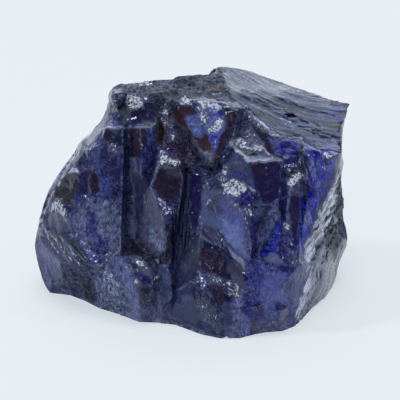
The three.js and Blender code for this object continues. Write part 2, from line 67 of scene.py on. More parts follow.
def to_layout(points):
    """Rows of across, up, out in mm for rows of x, y, z in mm."""
    across, away, high = (points - np.array(LAYOUT_ORIGIN)).T
    up = away * math.sin(LEAN) + high * math.cos(LEAN)
    out = high * math.sin(LEAN) - away * math.cos(LEAN)
    return np.stack([across, up, out], axis=1)


# ---------------------------------------------------------------- camera

VIEW_WIDTH = 80 * MM
DISTANCE = 1.5
SENSOR = 36

camera_data = bpy.data.cameras.new("camera")
camera_data.sensor_width = SENSOR
camera_data.lens = SENSOR * DISTANCE / VIEW_WIDTH
camera = bpy.data.objects.new("camera", camera_data)
camera.location = LAYOUT_ORIGIN * MM + TOWARD_FRONT * DISTANCE
camera.rotation_euler = TOWARD_FRONT.to_track_quat("Z", "Y").to_euler()
bpy.context.scene.collection.objects.link(camera)
bpy.context.scene.camera = camera

# ---------------------------------------------------------------- the stone's fine mesh

# In mm: how near two points are that are one, the back's longest mesh edge, and how high the base reaches.
SAME_POINT = 0.005
BACK_EDGE = 1.2
BASE_TOP = 0.02
# The front's longest mesh edge in mm, and the angle, turns and moves of the flattening that follows.
ROUNDS = ((0.9, math.radians(19), 28, 16), (0.44, math.radians(15), 10, 8))
TINY = 1e-9
FAR = 1e9


def face_normals(points, faces):
    """Unit normals of the triangles, and their areas."""
    a, b, c = (points[faces[:, k]] for k in range(3))
    cross = np.cross(b - a, c - a)
    size = np.linalg.norm(cross, axis=1)
    return cross / np.maximum(size, TINY)[:, None], size / 2


def unit(rows):
    """The rows, each scaled to a length of one."""
    return rows / np.maximum(np.linalg.norm(rows, axis=1), TINY)[:, None]


def gather(index, rows, count):
    """Sums of the rows that share an index."""
    return np.stack([np.bincount(index, rows[:, k], count) for k in range(3)], axis=1)


def point_normals(points, faces):
    """Unit normals of the points, weighted by the triangles' areas."""
    normals, area = face_normals(points, faces)
    total = sum(gather(faces[:, k], normals * area[:, None], len(points)) for k in range(3))
    return unit(total)


def sides_of(faces):
    """The ends of every triangle's three sides, lower index first."""
    return np.sort(np.concatenate([faces[:, [0, 1]], faces[:, [1, 2]], faces[:, [2, 0]]]), axis=1)


def divide(points, faces, front_edge):
    """Halves long edges above the base until none is left. The front's end up shorter than the back's."""
    while True:
        sides = sides_of(faces)
        keys, side_edge = np.unique(sides[:, 0] * len(points) + sides[:, 1], return_inverse=True)
        ends = np.stack([keys // len(points), keys % len(points)], axis=1)
        side_edge = side_edge.reshape(3, len(faces))
        faces_front = np.zeros(len(ends), bool)
        front_face = face_normals(points, faces)[0] @ np.array(TOWARD_FRONT) > 0
        for k in range(3):
            faces_front[side_edge[k, front_face]] = True
        a, b = points[ends[:, 0]], points[ends[:, 1]]
        limit = np.where(faces_front, front_edge, BACK_EDGE)
        long = (np.linalg.norm(a - b, axis=1) > limit) & (np.maximum(a[:, 2], b[:, 2]) > BASE_TOP)
        if not long.any():
            return points, faces
        middle = np.full(len(ends), -1)
        middle[long] = len(points) + np.arange(long.sum())
        points = np.concatenate([points, (a[long] + b[long]) / 2])
        made = []
        for turn in range(3):
            turned = np.roll(faces, -turn, axis=1)
            ab, bc, ca = (middle[side_edge[(k + turn) % 3]] for k in range(3))
            first, second, third = turned.T
            one = (ab >= 0) & (bc < 0) & (ca < 0)
            two = (ab >= 0) & (bc >= 0) & (ca < 0)
            from_first = np.linalg.norm(points[first] - points[bc], axis=1)
            from_third = np.linalg.norm(points[ab] - points[third], axis=1)
            cases = [
                (one, (first, ab, third), (ab, second, third)),
                (two, (ab, second, bc)),
                (two & (from_first <= from_third), (first, ab, bc), (first, bc, third)),
                (two & (from_first > from_third), (first, ab, third), (ab, bc, third)),
            ]
            if turn == 0:
                none = (ab < 0) & (bc < 0) & (ca < 0)
                every = (ab >= 0) & (bc >= 0) & (ca >= 0)
                cases.append((none, (first, second, third)))
                cases.append((every, (first, ab, ca), (ab, second, bc), (ca, bc, third), (ab, bc, ca)))
            for chosen, *triangles in cases:
                made += [np.stack(corners, axis=1)[chosen] for corners in triangles]
        faces = np.concatenate(made)


def flatten(points, faces, angle, turns, moves):
    """Evens out each facet and keeps its arrises: turns the triangles towards neighbours that face
    nearly the same way, then moves the points to suit. Points of the base stay."""
    sides = sides_of(faces)
    order = np.argsort(sides[:, 0] * len(points) + sides[:, 1], kind="stable")
    owner = np.tile(np.arange(len(faces)), 3)[order]
    one, other = owner[0::2], owner[1::2]
    normals, area = face_normals(points, faces)
    limit = 1 - math.cos(angle)
    for _ in range(turns):
        apart = 1 - (normals[one] * normals[other]).sum(axis=1)
        weight = np.exp(-((apart / limit) ** 2))[:, None]
        total = normals * area[:, None]
        total = total + gather(one, normals[other] * weight * area[other][:, None], len(faces))
        total = total + gather(other, normals[one] * weight * area[one][:, None], len(faces))
        normals = unit(total)
    points = points.copy()
    on_base = points[:, 2] < BASE_TOP
    corners = np.bincount(faces.ravel(), minlength=len(points))[:, None]
    for _ in range(moves):
        middle = points[faces].mean(axis=1)
        move = np.zeros_like(points)
        for k in range(3):
            off = ((middle - points[faces[:, k]]) * normals).sum(axis=1)
            move += gather(faces[:, k], normals * off[:, None], len(points))
        move /= corners
        move[on_base] = 0
        points += move
    return points


merged = bmesh.new()
merged.from_mesh(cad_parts["rough_sapphire"].data)
bmesh.ops.scale(merged, vec=(1 / MM,) * 3, verts=merged.verts)
bmesh.ops.remove_doubles(merged, verts=merged.verts, dist=SAME_POINT)
bmesh.ops.triangulate(merged, faces=merged.faces)
merged.verts.index_update()
points = np.array([vert.co[:] for vert in merged.verts])
faces = np.array([[vert.index for vert in face.verts] for face in merged.faces])
merged.free()

for front_edge, angle, turns, moves in ROUNDS:
    points, faces = divide(points, faces, front_edge)
    points = flatten(points, faces, angle, turns, moves)

# ---------------------------------------------------------------- tones and finishes

# Colours of the stone and of the painted reflections and highlights on its facets, as red, green and blue of
# 255.
TONES = {
    "black": (16, 16, 30),
    "ink": (30, 33, 62),
    "navy": (26, 28, 76),
    "indigo": (46, 42, 108),
    "royal": (58, 64, 178),
    "cobalt": (64, 70, 130),
    "dusk": (52, 58, 112),
    "plum": (48, 44, 88),
    "grape": (42, 31, 80),
    "wine": (46, 33, 54),
    "brown": (64, 46, 54),
    "umber": (44, 41, 56),
    "olive": (56, 55, 54),
    "teal": (30, 44, 76),
    "slate": (56, 60, 92),
    "steel": (72, 80, 118),
    "fog": (108, 118, 152),
    "peri": (106, 113, 178),
    "pale": (150, 162, 196),
    "white": (200, 208, 232),
    "stone": (78, 85, 98),
    "sand": (104, 99, 96),
    "top": (68, 75, 106),
    "mist": (84, 84, 112),
    "rose": (140, 92, 140),
    "dove": (102, 109, 154),
    "haze": (98, 103, 136),
    "frost": (134, 147, 206),
    "snow": (226, 236, 255),
    "silver": (150, 157, 174),
    "deep": (18, 22, 150),
}

# How much clouding, hackle, crust and striation each finish has. Hackle is a chip's splinters.
FINISHES = {
    "glass": (0.25, 0, 0, 0),
    # A sheen is glass with a wide soft edge: painted sheens across facets, and soft spots of colour.
    "sheen": (0.25, 0, 0, 0),
    "cloud": (1, 0, 0, 0),
    "veil": (1, 0, 0, 0),
    "crust": (0.3, 0.1, 1, 0),
    "line": (0.3, 0, 0, 1),
    "rind": (0.3, 0, 0.6, 1),
    "matt": (0.25, 0, 0.4, 0),
    "satin": (0.3, 0, 0.1, 0.5),
}

# How far the edge of each kind of patch fades, in mm.
FADES = {
    "glass": 0.16,
    "sheen": 1.1,
    "cloud": 0.45,
    "veil": 1.2,
    "chip": 0.4,
    "crust": 0.4,
    "line": 0.3,
    "rind": 0.3,
    "matt": 0.3,
    "satin": 0.4,
}

# How much of a chip the splinters cover, by the tone it is named after. A chip keeps the tone below it.
COVER = {"white": 0.92, "snow": 0.96, "pale": 0.7, "fog": 0.6, "sand": 0.6, "slate": 0.45}

# Patches of the front, in the order they are laid: tone, finish or chip, corners across and up. Besides the
# stone's own colours they paint the reflections, sheens and small highlights that the facets show from the
# front.
PATCHES = [
    # left flank
    ("dusk", "cloud", (-29.6, 0), (-25.2, 7), (-19, 16.4), (-16, 0), (-16, -13), (-24, -16), (-33, -10)),
    ("steel", "veil", (-22, 11), (-20.4, 13.6), (-19.6, 14), (-19.6, 8), (-20, 6), (-21.8, 6), (-22.8, 8)),
    ("navy", "cloud", (-24.4, 8), (-23, 10), (-22, 10), (-22, 7), (-23, 6), (-24.6, 6.6)),
    ("olive", "glass", (-27.6, 4.4), (-26, 5.6), (-24.6, 5.2), (-24.6, 2), (-25, -1), (-27, -1),
     (-29.6, -0.4), (-28.6, 2.4)),
    ("umber", "sheen", (-26.4, 4.6), (-24.8, 4.6), (-25, 0), (-26.6, 0.4)),
    ("grape", "glass", (-24.6, 5), (-23, 6), (-22.2, 5.6), (-22.2, 1), (-23, -0.4), (-24.2, 0.6)),
    ("wine", "glass", (-21.9, 5.4), (-20.9, 6), (-20, 4), (-20.2, 1.6), (-21.4, 0.6), (-22, 3)),
    ("dusk", "cloud", (-25, 1), (-16.2, 1), (-16.2, -8), (-20, -11), (-25.4, -7)),
    ("haze", "veil", (-24, -0.6), (-20, -0.2), (-16.4, 0.8), (-16, -5), (-16.2, -11.6), (-19, -12.4),
     (-22, -11), (-24, -8), (-25.6, -5)),
    ("fog", "veil", (-20.4, 0.4), (-18, 0.4), (-18, -2), (-20, -2.4)),
    ("cobalt", "veil", (-22.2, -1.6), (-21, -2), (-20.4, -9), (-21.4, -9), (-22.4, -6)),
    ("dusk", "cloud", (-21, -8), (-18.4, -8), (-18, -12), (-20, -12.6), (-21.4, -10.4)),
    ("fog", "chip", (-19.4, -11), (-17.8, -11), (-17.8, -12.4), (-19, -12.6)),
    ("ink", "cloud", (-29.6, 0), (-27, 0), (-25.8, -2), (-26, -4), (-29.8, -3)),
    ("white", "chip", (-30, -0.8), (-28.6, -0.2), (-27.4, -0.2), (-26.6, -2), (-26.2, -3.6), (-27.4, -3.4),
     (-28.6, -2.4), (-29.8, -2.2)),
    ("plum", "cloud", (-31.4, -3), (-29.6, -2.6), (-26.6, -4), (-25.6, -6.4), (-28, -8), (-30.4, -6)),
    ("slate", "line", (-32, -4.6), (-30.4, -5.4), (-28, -7), (-25.8, -7), (-23.6, -9), (-22, -12.4),
     (-23.2, -14), (-26, -12.8), (-28.4, -11.6), (-30, -8), (-31.6, -6.4)),
    ("fog", "chip", (-28.4, -8), (-27, -8.6), (-26, -10.6), (-27.4, -11)),
    ("fog", "chip", (-24.8, -11), (-23.4, -10.6), (-22.6, -12.4), (-23.6, -14), (-24.6, -13)),
    ("navy", "line", (-31.6, -7.6), (-30.2, -7.6), (-28.8, -9.8), (-29.6, -10.4), (-31, -9)),
    ("dusk", "cloud", (-33.6, -8), (-31.6, -8.8), (-29.4, -11), (-28, -13), (-27.6, -16), (-29.6, -18),
     (-31, -17), (-32.6, -14), (-33.8, -11)),
    ("navy", "cloud", (-30.4, -16.4), (-28.4, -16), (-26.8, -16.8), (-27, -18.8), (-30.2, -18.8)),
    ("slate", "crust", (-27.8, -12.4), (-25, -13.2), (-21.6, -13), (-20.4, -15), (-20.8, -20.4),
     (-23.2, -19.6), (-26, -19.2), (-27.4, -17)),
    ("black", "crust", (-24, -15.6), (-22.4, -16), (-21.4, -18), (-21, -20.6), (-22.8, -19.8),
     (-23.8, -17.6)),
    ("fog", "crust", (-21, -13.2), (-18.4, -13), (-16.4, -15), (-14.4, -19), (-13, -24), (-17, -22.4),
     (-20.6, -20.8)),
    ("pale", "crust", (-19, -14), (-17.4, -14.4), (-15.6, -19), (-17.4, -19), (-19, -17)),
    ("dove", "cloud", (-17.8, -11.6), (-15.6, -11.4), (-14, -13.4), (-13, -16), (-12.4, -20),
     (-11.4, -24.4), (-13.4, -23.6), (-14.6, -18.6), (-16.6, -14.4)),
    ("slate", "rind", (-19.2, 17.8), (-21.6, 13.8), (-24, 10.2), (-26, 7.6), (-28, 5), (-30, 2), (-32, -1),
     (-33, -5), (-31, -5.6), (-30.2, -2), (-28.8, 1.6), (-27.6, 4), (-26.4, 5.6), (-25.6, 6.4),
     (-24.8, 7.6), (-23.6, 9.4), (-22.8, 11), (-22, 13), (-21.2, 14.8), (-19.6, 17)),
    ("white", "glass", (-26.4, 5.6), (-25.6, 6.5), (-24.6, 6.3), (-24.3, 5.4), (-25.4, 5.6)),
    # columns
    ("plum", "cloud", (-19.8, 13.6), (-15.6, 14.2), (-15.2, 7), (-15.2, 0), (-18, 0), (-19.8, 5)),
    ("cobalt", "cloud", (-20.2, 6.8), (-19.2, 6), (-18, 4), (-17.8, 0), (-20, 0), (-20.2, 3)),
    ("umber", "glass", (-19.4, 14.3), (-16.8, 14.3), (-16.6, 12.8), (-17.6, 11.6), (-19.4, 11.8)),
    ("teal", "glass", (-17, 14.2), (-15.4, 14.2), (-14.8, 12), (-15, 10.4), (-16.8, 10.4), (-17.4, 11.4)),
    ("indigo", "glass", (-16.2, 9.6), (-15, 9.6), (-15, 1), (-15.6, 0.6), (-16.2, 5)),
    ("slate", "cloud", (-15.2, 14), (-14.2, 14), (-13.8, 10), (-13.2, 6), (-12.8, 0), (-13.2, -8),
     (-13.6, -11.2), (-15.8, -11.6), (-16, -6), (-15.6, 0), (-14.8, 6)),
    ("fog", "chip", (-18.2, 11.2), (-16.4, 11.4), (-16.4, 9.6), (-18, 9.6)),
    ("steel", "sheen", (-14.6, 14.2), (-13.4, 14.2), (-13.4, 11.6), (-14.4, 11.4)),
    ("white", "glass", (-14.4, 13), (-13.9, 13), (-13.9, 12.3), (-14.4, 12.3)),
    ("wine", "glass", (-13.8, 14.3), (-10.8, 14.3), (-10.6, 11.6), (-11.6, 9), (-13.2, 8), (-13.8, 10.4)),
    ("brown", "glass", (-12.4, 13.6), (-11.2, 13.6), (-11, 12.4), (-12, 11.8)),
    ("indigo", "veil", (-10.6, 14), (-8.8, 14), (-8.8, 10), (-9.2, 7), (-10.4, 7), (-11, 9)),
    ("fog", "glass", (-14.2, 8.4), (-12.6, 8.4), (-12.4, 0), (-13, -11.2), (-13.8, -8), (-13.2, 0),
     (-14, 5)),
    ("plum", "cloud", (-12.6, 8), (-10.6, 7.4), (-9, 7), (-9.8, 2.8), (-10.2, 1.6), (-11.6, 0), (-12.6, 0)),
    # middle
    ("umber", "cloud", (-10, 20.4), (-4.8, 20.6), (-4.6, 18), (-5, 14.6), (-8.4, 14.6), (-10, 16),
     (-10.8, 18)),
    ("stone", "crust", (-7, 18.4), (-5.6, 20.6), (-4.4, 21.4), (-4.2, 19.6), (-5.4, 18.4)),
    ("umber", "cloud", (-4.8, 14.4), (-2, 14), (-1.2, 11), (-0.4, 9), (0.8, 7), (1.6, 5), (0, 2), (-2.4, 3),
     (-4, 6), (-5.6, 8), (-6, 11)),
    ("brown", "line", (-8.6, 14.8), (-6.4, 14.8), (-6.2, 12), (-6.6, 10.4), (-8.4, 10.4), (-8.8, 12.6)),
    ("slate", "line", (-4.8, 7), (-2.4, 6), (0, 7), (0.6, 2), (0, -3), (-0.8, -8), (-2.4, -12.4),
     (-4.4, -17), (-5.6, -17), (-4.8, -10), (-4.4, -6), (-4.4, 0)),
    ("plum", "glass", (-2, 7), (0.8, 7), (0.8, 2), (0.2, -3), (-0.8, -5), (-1.6, -8), (-2, -2)),
    ("umber", "line", (-7, 0), (-4.8, 0), (-4.4, -6), (-5.6, -12.4), (-8, -12.4), (-8, -11.4), (-6.8, -9)),
    ("wine", "cloud", (-6.8, 11.6), (-4.4, 14.4), (-2.6, 14.4), (-1.4, 11.6), (0, 8), (-2, 5), (-3.6, 6.4),
     (-4.8, 8), (-6.4, 9.6)),
    ("wine", "glass", (-8.4, 6.4), (-4.8, 6.8), (-3.6, 4.8), (-4, 2), (-5.6, 0), (-8, 0.8), (-9.2, 2.8)),
    ("plum", "cloud", (-8, 0.8), (-5.6, 0), (-4.4, 1), (-4.8, -3), (-6, -7), (-7.2, -3)),
    ("mist", "sheen", (-12.6, 6.8), (-10, 2.8), (-8.4, 1), (-7.6, -2), (-6.8, -5), (-7, -9), (-8, -11.4),
     (-10, -10.4), (-12, -8), (-12.6, -5), (-12.8, 0)),
    ("fog", "veil", (-10.4, -6), (-7.4, -6), (-7.2, -9.6), (-8.6, -10.8), (-10, -9)),
    ("slate", "sheen", (-12.6, 5), (-10.4, 2.6), (-10.6, -2), (-12, -5), (-12.8, 0)),
    ("umber", "crust", (-14, -7.2), (-12, -8), (-10, -10.4), (-8.4, -11.6), (-10, -12.4), (-12, -11.6),
     (-14.4, -11.6)),
    ("white", "chip", (-7.8, 9.8), (-7, 9.8), (-6.2, 8.4), (-5, 8), (-4, 8), (-3.8, 7), (-5, 6.6),
     (-6.4, 7), (-7.6, 6.6), (-8.6, 6), (-8.6, 7.4)),
    ("white", "chip", (-8.2, 8.4), (-7.6, 8), (-8.8, 4.2), (-9.3, 4.2)),
    ("fog", "chip", (-7.7, 17), (-7, 17), (-4.8, 13.8), (-5.3, 13.4)),
    ("white", "chip", (-5.9, 13.3), (-4.8, 12.9), (-4.9, 11.9), (-5.9, 11.9)),
    # knob and top left
    ("navy", "glass", (-18.4, 22), (-17.8, 23.1), (-16.4, 23.3), (-15.2, 22.9), (-14.2, 22), (-14, 20.8),
     (-14.6, 19.8), (-15.6, 18.8), (-16.6, 18.2), (-17.8, 18.6), (-18.2, 20)),
    ("ink", "glass", (-18.2, 21.4), (-17, 22.2), (-15.6, 22), (-14.6, 21), (-14.8, 20), (-15.6, 18.9),
     (-16.8, 18.6), (-18, 19.4)),
    ("navy", "glass", (-17.4, 21.2), (-16.4, 21.4), (-15.6, 20.6), (-15.8, 19.6), (-16.8, 19.2),
     (-17.6, 19.8)),
    ("navy", "crust", (-18.6, 21.8), (-17.4, 23.8), (-15, 23.8), (-13.9, 22.6), (-15.2, 21.6), (-17, 21.9)),
    ("slate", "chip", (-16.6, 22.9), (-15, 22.9), (-14.1, 21.6), (-14.2, 20.4), (-15.2, 21.6)),
    ("ink", "glass", (-18, 19), (-16, 19), (-15, 18), (-15.4, 16.6), (-16.4, 17), (-17.8, 17.6)),
    ("pale", "chip", (-17.8, 18.8), (-16.8, 18.6), (-15.8, 17.2), (-15.6, 16.2), (-16.8, 16.8),
     (-17.6, 17.8)),
    ("dusk", "matt", (-18.4, 18.6), (-17.4, 17.8), (-16.6, 17.2), (-15.9, 16), (-15.6, 14.5), (-19.8, 14.5),
     (-19.4, 15.6), (-18.8, 17.4)),
    ("stone", "glass", (-15, 19.4), (-14, 19.2), (-13.8, 18), (-14.2, 16.4), (-14.6, 14.6), (-15.6, 14.6),
     (-15.7, 16.4), (-16.2, 17.6)),
    ("slate", "crust", (-14.6, 21.2), (-10, 21.4), (-8.8, 20), (-10.4, 18.4), (-12, 18), (-14.4, 18.4)),
    ("ink", "cloud", (-14.4, 21), (-12.4, 21), (-11, 19.4), (-10.8, 18.2), (-13.4, 17.9), (-14.4, 18.4)),
    ("white", "chip", (-14.7, 20.9), (-12.7, 21.2), (-11.2, 19.6), (-11, 18.2), (-13.6, 17.9),
     (-14.6, 18.4)),
    ("ink", "glass", (-11, 20), (-9.8, 20.4), (-9.4, 18.4), (-9.8, 17.6), (-11, 18)),
    ("fog", "chip", (-12.8, 21.8), (-10.8, 21.8), (-9.8, 20), (-10.6, 19.8), (-12, 21)),
    ("grape", "glass", (-13.8, 17.7), (-11.4, 18.2), (-9.8, 17.8), (-9, 16.6), (-10.6, 15.8), (-12.2, 15.1),
     (-13.8, 14.7), (-14, 16.4)),
    ("wine", "sheen", (-12.4, 17.2), (-11, 17), (-11.4, 16), (-12.6, 16)),
    ("stone", "glass", (-12.2, 14.9), (-11.2, 15.8), (-9.8, 16), (-9.3, 14.8), (-10, 14.5)),
    # crust
    ("stone", "crust", (-14.8, 22.8), (-10, 24), (-5.6, 24.6), (-3, 25.6), (1, 26), (4, 27.2), (6.4, 27.2),
     (6, 22), (8, 20), (4, 20), (-0.8, 20), (-4.8, 20), (-8, 20.8), (-10, 20.8), (-14, 21.2)),
    ("umber", "crust", (-2, 23), (-0.6, 23.4), (1, 25.4), (-2, 25.2), (-5, 23.8), (-4.6, 22.4)),
    ("fog", "chip", (-14.4, 23.5), (-12.4, 23.9), (-12.4, 22.6), (-14.2, 22.6)),
    ("indigo", "glass", (-12.4, 23.8), (-11, 24.2), (-11, 23), (-12.2, 22.8)),
    ("white", "chip", (-11.4, 24.4), (-9.4, 24.6), (-9.6, 23), (-11.2, 23)),
    ("black", "crust", (-10, 21.2), (-7, 21.4), (-6, 21.2), (-5, 21.6), (-5.6, 20.6), (-8, 20.4),
     (-10.2, 20.4)),
    ("black", "crust", (-7, 21.8), (-4.4, 22.6), (-4.4, 21.6), (-6, 20.8), (-8, 20.8)),
    ("sand", "crust", (0.6, 23.2), (4.8, 23.2), (5.2, 21.6), (1.2, 21.4)),
    ("fog", "chip", (2, 21.8), (5.2, 21.6), (4.8, 20.8), (2, 20.8)),
    # wedge
    ("umber", "cloud", (-6, 19), (-4, 20), (-3, 18), (-2.8, 15.6), (-0.6, 12), (0.8, 9), (0, 8), (-2, 10),
     (-4, 13)),
    ("teal", "cloud", (6.6, 18.2), (9, 18.2), (9.4, 15), (11, 13), (8, 12), (6.6, 11), (5, 8.4), (3.4, 7.2),
     (4, 9), (6.2, 13), (7.2, 15.6)),
    ("brown", "glass", (-4.6, 18.6), (-1.2, 18.6), (-0.8, 17.6), (-2, 17), (-3, 16.4), (-2.8, 15.6),
     (-2, 14.4), (-1.2, 13.2), (-0.6, 12.6), (0.2, 12.4), (0.6, 12.8), (1.2, 13.2), (1.8, 12.8),
     (2.2, 11.6), (2.8, 9.6), (2.6, 8.4), (1.6, 8.4), (0, 10), (-1, 11.4), (-2, 13.2), (-3.2, 14.4),
     (-4.8, 15.2), (-5.6, 16.8)),
    ("wine", "glass", (4.4, 18.4), (6.6, 18.2), (7.6, 17.4), (7.2, 15), (6.2, 13.6), (5.6, 12), (4.4, 9.6),
     (3, 8), (2.2, 8), (2.6, 9.6), (3.2, 10.6), (4, 12.4), (4.8, 14), (5.2, 15.6), (4.6, 17.2)),
    ("brown", "glass", (4.8, 18), (6.4, 18), (6.4, 16), (5.4, 15.6)),
    ("ink", "cloud", (7, 18), (9.4, 18), (9.6, 15), (8.4, 14), (7.2, 15)),
    ("peri", "cloud", (-1.2, 18.6), (-0.6, 19.8), (1.2, 20), (3, 19.8), (4.2, 18.6), (4.4, 17.2),
     (5.2, 15.6), (4.8, 14), (4, 12.6), (3.4, 10.8), (2.8, 10), (2.2, 11.2), (1.8, 12.6), (1.2, 13.4),
     (0.6, 13), (0, 12.6), (-0.8, 12.8), (-1.6, 14), (-2.6, 15.2), (-3, 16.2), (-2.4, 17), (-1.6, 17),
     (-0.8, 16.4)),
    ("peri", "cloud", (-2.8, 16), (-2.2, 16.9), (-1.2, 16.6), (-0.4, 15.2), (0, 13.6), (-0.2, 12.7),
     (-1, 12.9), (-2, 14.4)),
    ("frost", "cloud", (1, 19.8), (3.2, 19.8), (4, 18.4), (3.6, 17.6), (1.8, 17.8)),
    ("rose", "glass", (0.3, 19.3), (0.6, 19.3), (1.3, 17.5), (1, 17.4)),
    ("pale", "chip", (-0.8, 18.6), (0.8, 19), (2, 16.6), (1.4, 14.6), (-0.2, 14.6), (-0.4, 16.6)),
    ("royal", "cloud", (1.6, 13.4), (2.4, 13.4), (4.2, 13.8), (3.9, 12.4), (3.2, 10.4), (2.8, 9.9),
     (2.4, 11), (1.9, 12.6)),
    ("snow", "chip", (-0.6, 19.9), (0.6, 20.1), (3.2, 19.6), (4.2, 18.6), (4.2, 17.6), (3.4, 17.4),
     (2.8, 18), (1.4, 18.4), (0, 18.8)),
    ("royal", "glass", (3.6, 17.6), (4.5, 18), (4.6, 16.8), (3.8, 16.6)),
    ("frost", "cloud", (0.8, 14.4), (2.6, 15.8), (3.6, 17), (5, 16.1), (5, 14.2), (3.8, 13.4), (2.4, 13),
     (1.2, 13.2)),
    ("snow", "chip", (1.5, 14), (2.9, 15.5), (3.6, 16.7), (4.8, 16.1), (4.9, 14.4), (3.6, 13.6),
     (2.4, 13.2), (1.7, 13.1)),
    ("pale", "chip", (2.6, 12.2), (3.6, 12.4), (3.4, 10.6), (2.8, 10.4)),
    ("white", "chip", (-4.4, 20.4), (-3, 20.7), (-1.6, 20.2), (-1.6, 18.9), (-3.6, 18.8)),
    ("fog", "glass", (-1.6, 20.2), (0.8, 20.4), (3.2, 20.1), (5.6, 19.5), (8, 18.5), (7.6, 18), (5.8, 18.6),
     (4.4, 18.8), (2.4, 19.8), (0, 20), (-1.4, 19.8)),
    ("pale", "glass", (5.6, 18.9), (6.6, 18.9), (7.4, 18.3), (7.2, 17.9), (6, 18.2)),
    ("stone", "glass", (0, 9.2), (1.6, 9.4), (2.8, 8.8), (3.8, 8.4), (3.8, 7.6), (2.8, 6.6), (1.8, 6.6),
     (0.8, 7.4), (0, 8.4)),
    ("steel", "glass", (0.4, 9), (1.6, 9.1), (1.8, 8.2), (1, 7.8), (0.4, 8.2)),
    ("brown", "sheen", (2.4, 8.6), (3.6, 8.2), (3.4, 7.2), (2.4, 7.4)),
    ("white", "chip", (8, 19.2), (9.2, 19), (10, 17.4), (11.6, 16.2), (12.4, 15.2), (11.2, 15.4),
     (9.8, 16.2), (8.8, 17.6)),
    # right front
    ("slate", "cloud", (7.4, 17), (9, 16.8), (10, 15.4), (12.6, 13), (13, 11), (12, 10.6), (8, 12),
     (6.4, 11.8), (6.8, 14)),
    ("slate", "chip", (8, 13.4), (10, 14.4), (12, 13.2), (12.6, 11), (10, 10.6), (8, 12)),
    ("wine", "glass", (10, 15.6), (12.4, 14), (14.4, 12.4), (15.4, 10), (15.8, 8), (14.4, 8), (12.6, 10),
     (12.6, 11.6), (11, 13.6)),
    ("slate", "cloud", (0.4, 6.6), (4, 6.8), (4.4, 3), (4.4, 1.6), (0.4, 2)),
    ("steel", "glass", (4, 8), (6, 9.8), (9.2, 8), (10.4, 6.4), (10.8, 3), (10, 2), (8, 3.6), (5, 3.6),
     (4.4, 5)),
    ("mist", "sheen", (6.4, 8), (9, 8), (10, 6), (8, 5), (6.4, 6)),
    ("cobalt", "veil", (6.4, 5.4), (10, 5.4), (10.6, 3), (8, 3.6)),
    ("mist", "glass", (6.2, 11), (6.8, 12), (8, 12.4), (10, 10.8), (11.6, 10.6), (12.8, 9.6), (14.5, 8),
     (12.4, 7.8), (10.4, 7.5), (9.6, 7.6), (8.6, 8.6), (7, 9.8)),
    ("pale", "glass", (9, 8.5), (12, 8.9), (14.3, 8.1), (12.4, 7.9), (10.4, 7.6), (9.7, 7.7)),
    ("umber", "glass", (7, 10.3), (8.6, 10), (12, 9.5), (12.6, 9), (10, 8.6), (9, 8.8), (7.6, 9.6)),
    ("pale", "glass", (6.6, 11.3), (7.2, 12), (8.4, 12.1), (9.4, 10.9), (11, 10.4), (9, 10.2), (7.4, 10.5)),
    ("snow", "chip", (6.2, 11.2), (6.8, 12.3), (8.4, 12.4), (9.6, 10.9), (12, 10.7), (12.9, 9.7), (11, 9.6),
     (8.8, 10.2), (7.2, 10.6)),
    ("snow", "glass", (6, 11.3), (6.5, 11.2), (7.3, 10.2), (8.9, 9.1), (10.1, 7.8), (9.6, 7.5), (8.4, 8.7),
     (6.8, 9.8)),
    ("pale", "chip", (4.4, 7.8), (5.4, 8), (5.6, 6), (5.2, 3), (4.4, 2.4), (4, 5)),
    ("grape", "glass", (10.2, 7.4), (16.4, 7.8), (16, 5), (16.2, 2), (15.4, 0), (14, -0.6), (12.4, -0.4),
     (11.4, 2), (10.4, 5)),
    ("wine", "sheen", (10.4, 7.2), (13, 7.2), (12.4, 4.4), (11, 4)),
    ("ink", "cloud", (16.2, 8.4), (20, 9), (20.4, 5), (18, 4), (16, 4)),
    ("indigo", "glass", (16.4, 8.8), (19.2, 8.8), (19, 7), (16.6, 6.8)),
    ("steel", "glass", (12.4, -0.4), (14.4, -1.2), (14.2, -3.2), (12.6, -3.6), (12, -1.6), (9.8, -0.8),
     (9.8, -0.2)),
    ("dove", "glass", (0.4, 2), (4.4, 1.8), (7.2, 1), (9.6, -0.6), (10.4, -5), (10.4, -11.6), (9.2, -12.4),
     (7.6, -11), (5, -7.6), (3, -5.6), (0, -4.4)),
    ("mist", "sheen", (1.4, 0.8), (4.6, 1), (4.8, -2.4), (2, -3)),
    ("peri", "sheen", (4.2, -0.4), (8.4, -2.4), (9, -9), (7.8, -10.4), (5.4, -6.4)),
    ("frost", "sheen", (4.6, -4), (7.4, -5), (8.8, -8), (9.6, -11.8), (7.6, -11), (4.6, -7)),
    ("indigo", "cloud", (8.8, -3), (11.4, -3.4), (11.4, -11), (9.8, -11.8), (9, -8)),
    ("slate", "chip", (8.6, -3), (9.8, -3), (10.2, -10), (9.2, -10)),
    ("indigo", "cloud", (6.8, 1.4), (9.8, 1.8), (11, 0.4), (10, -1.8), (7.6, -1.6), (6.6, -0.4)),
    ("pale", "glass", (4.5, 2.8), (5.6, 3.4), (7.2, 3.6), (8.8, 2.8), (8, 2), (7.2, 0.8), (5.6, 1.4),
     (4.8, 2)),
    ("snow", "chip", (4.2, 3), (5.6, 3.8), (7.2, 3.9), (8.6, 3.3), (9.6, 2.4), (8.6, 1.5), (7.2, 0.6),
     (5.6, 1)),
    ("fog", "chip", (6.2, -0.6), (7.6, -0.4), (8.2, -2.4), (6.8, -2.6)),
    ("pale", "chip", (8.8, -1.2), (10.2, -1.6), (10.6, -3.2), (9.4, -3.4), (8.6, -2.2)),
    ("dove", "cloud", (12.4, -3.2), (14.4, -1.2), (16, 1.6), (16.2, 0), (16, -3), (14.4, -5.6), (12.4, -9),
     (11.6, -10.8), (11.2, -7)),
    ("navy", "glass", (16, 4), (17.2, 3), (17, -4.8), (16, -5), (15.6, -1)),
    ("royal", "cloud", (12.8, -10), (13.6, -8), (15.2, -5.2), (16.6, -4), (16.6, -6.4), (15.8, -8),
     (15.2, -10), (14.4, -11.2), (12.4, -11.4), (12, -10.8)),
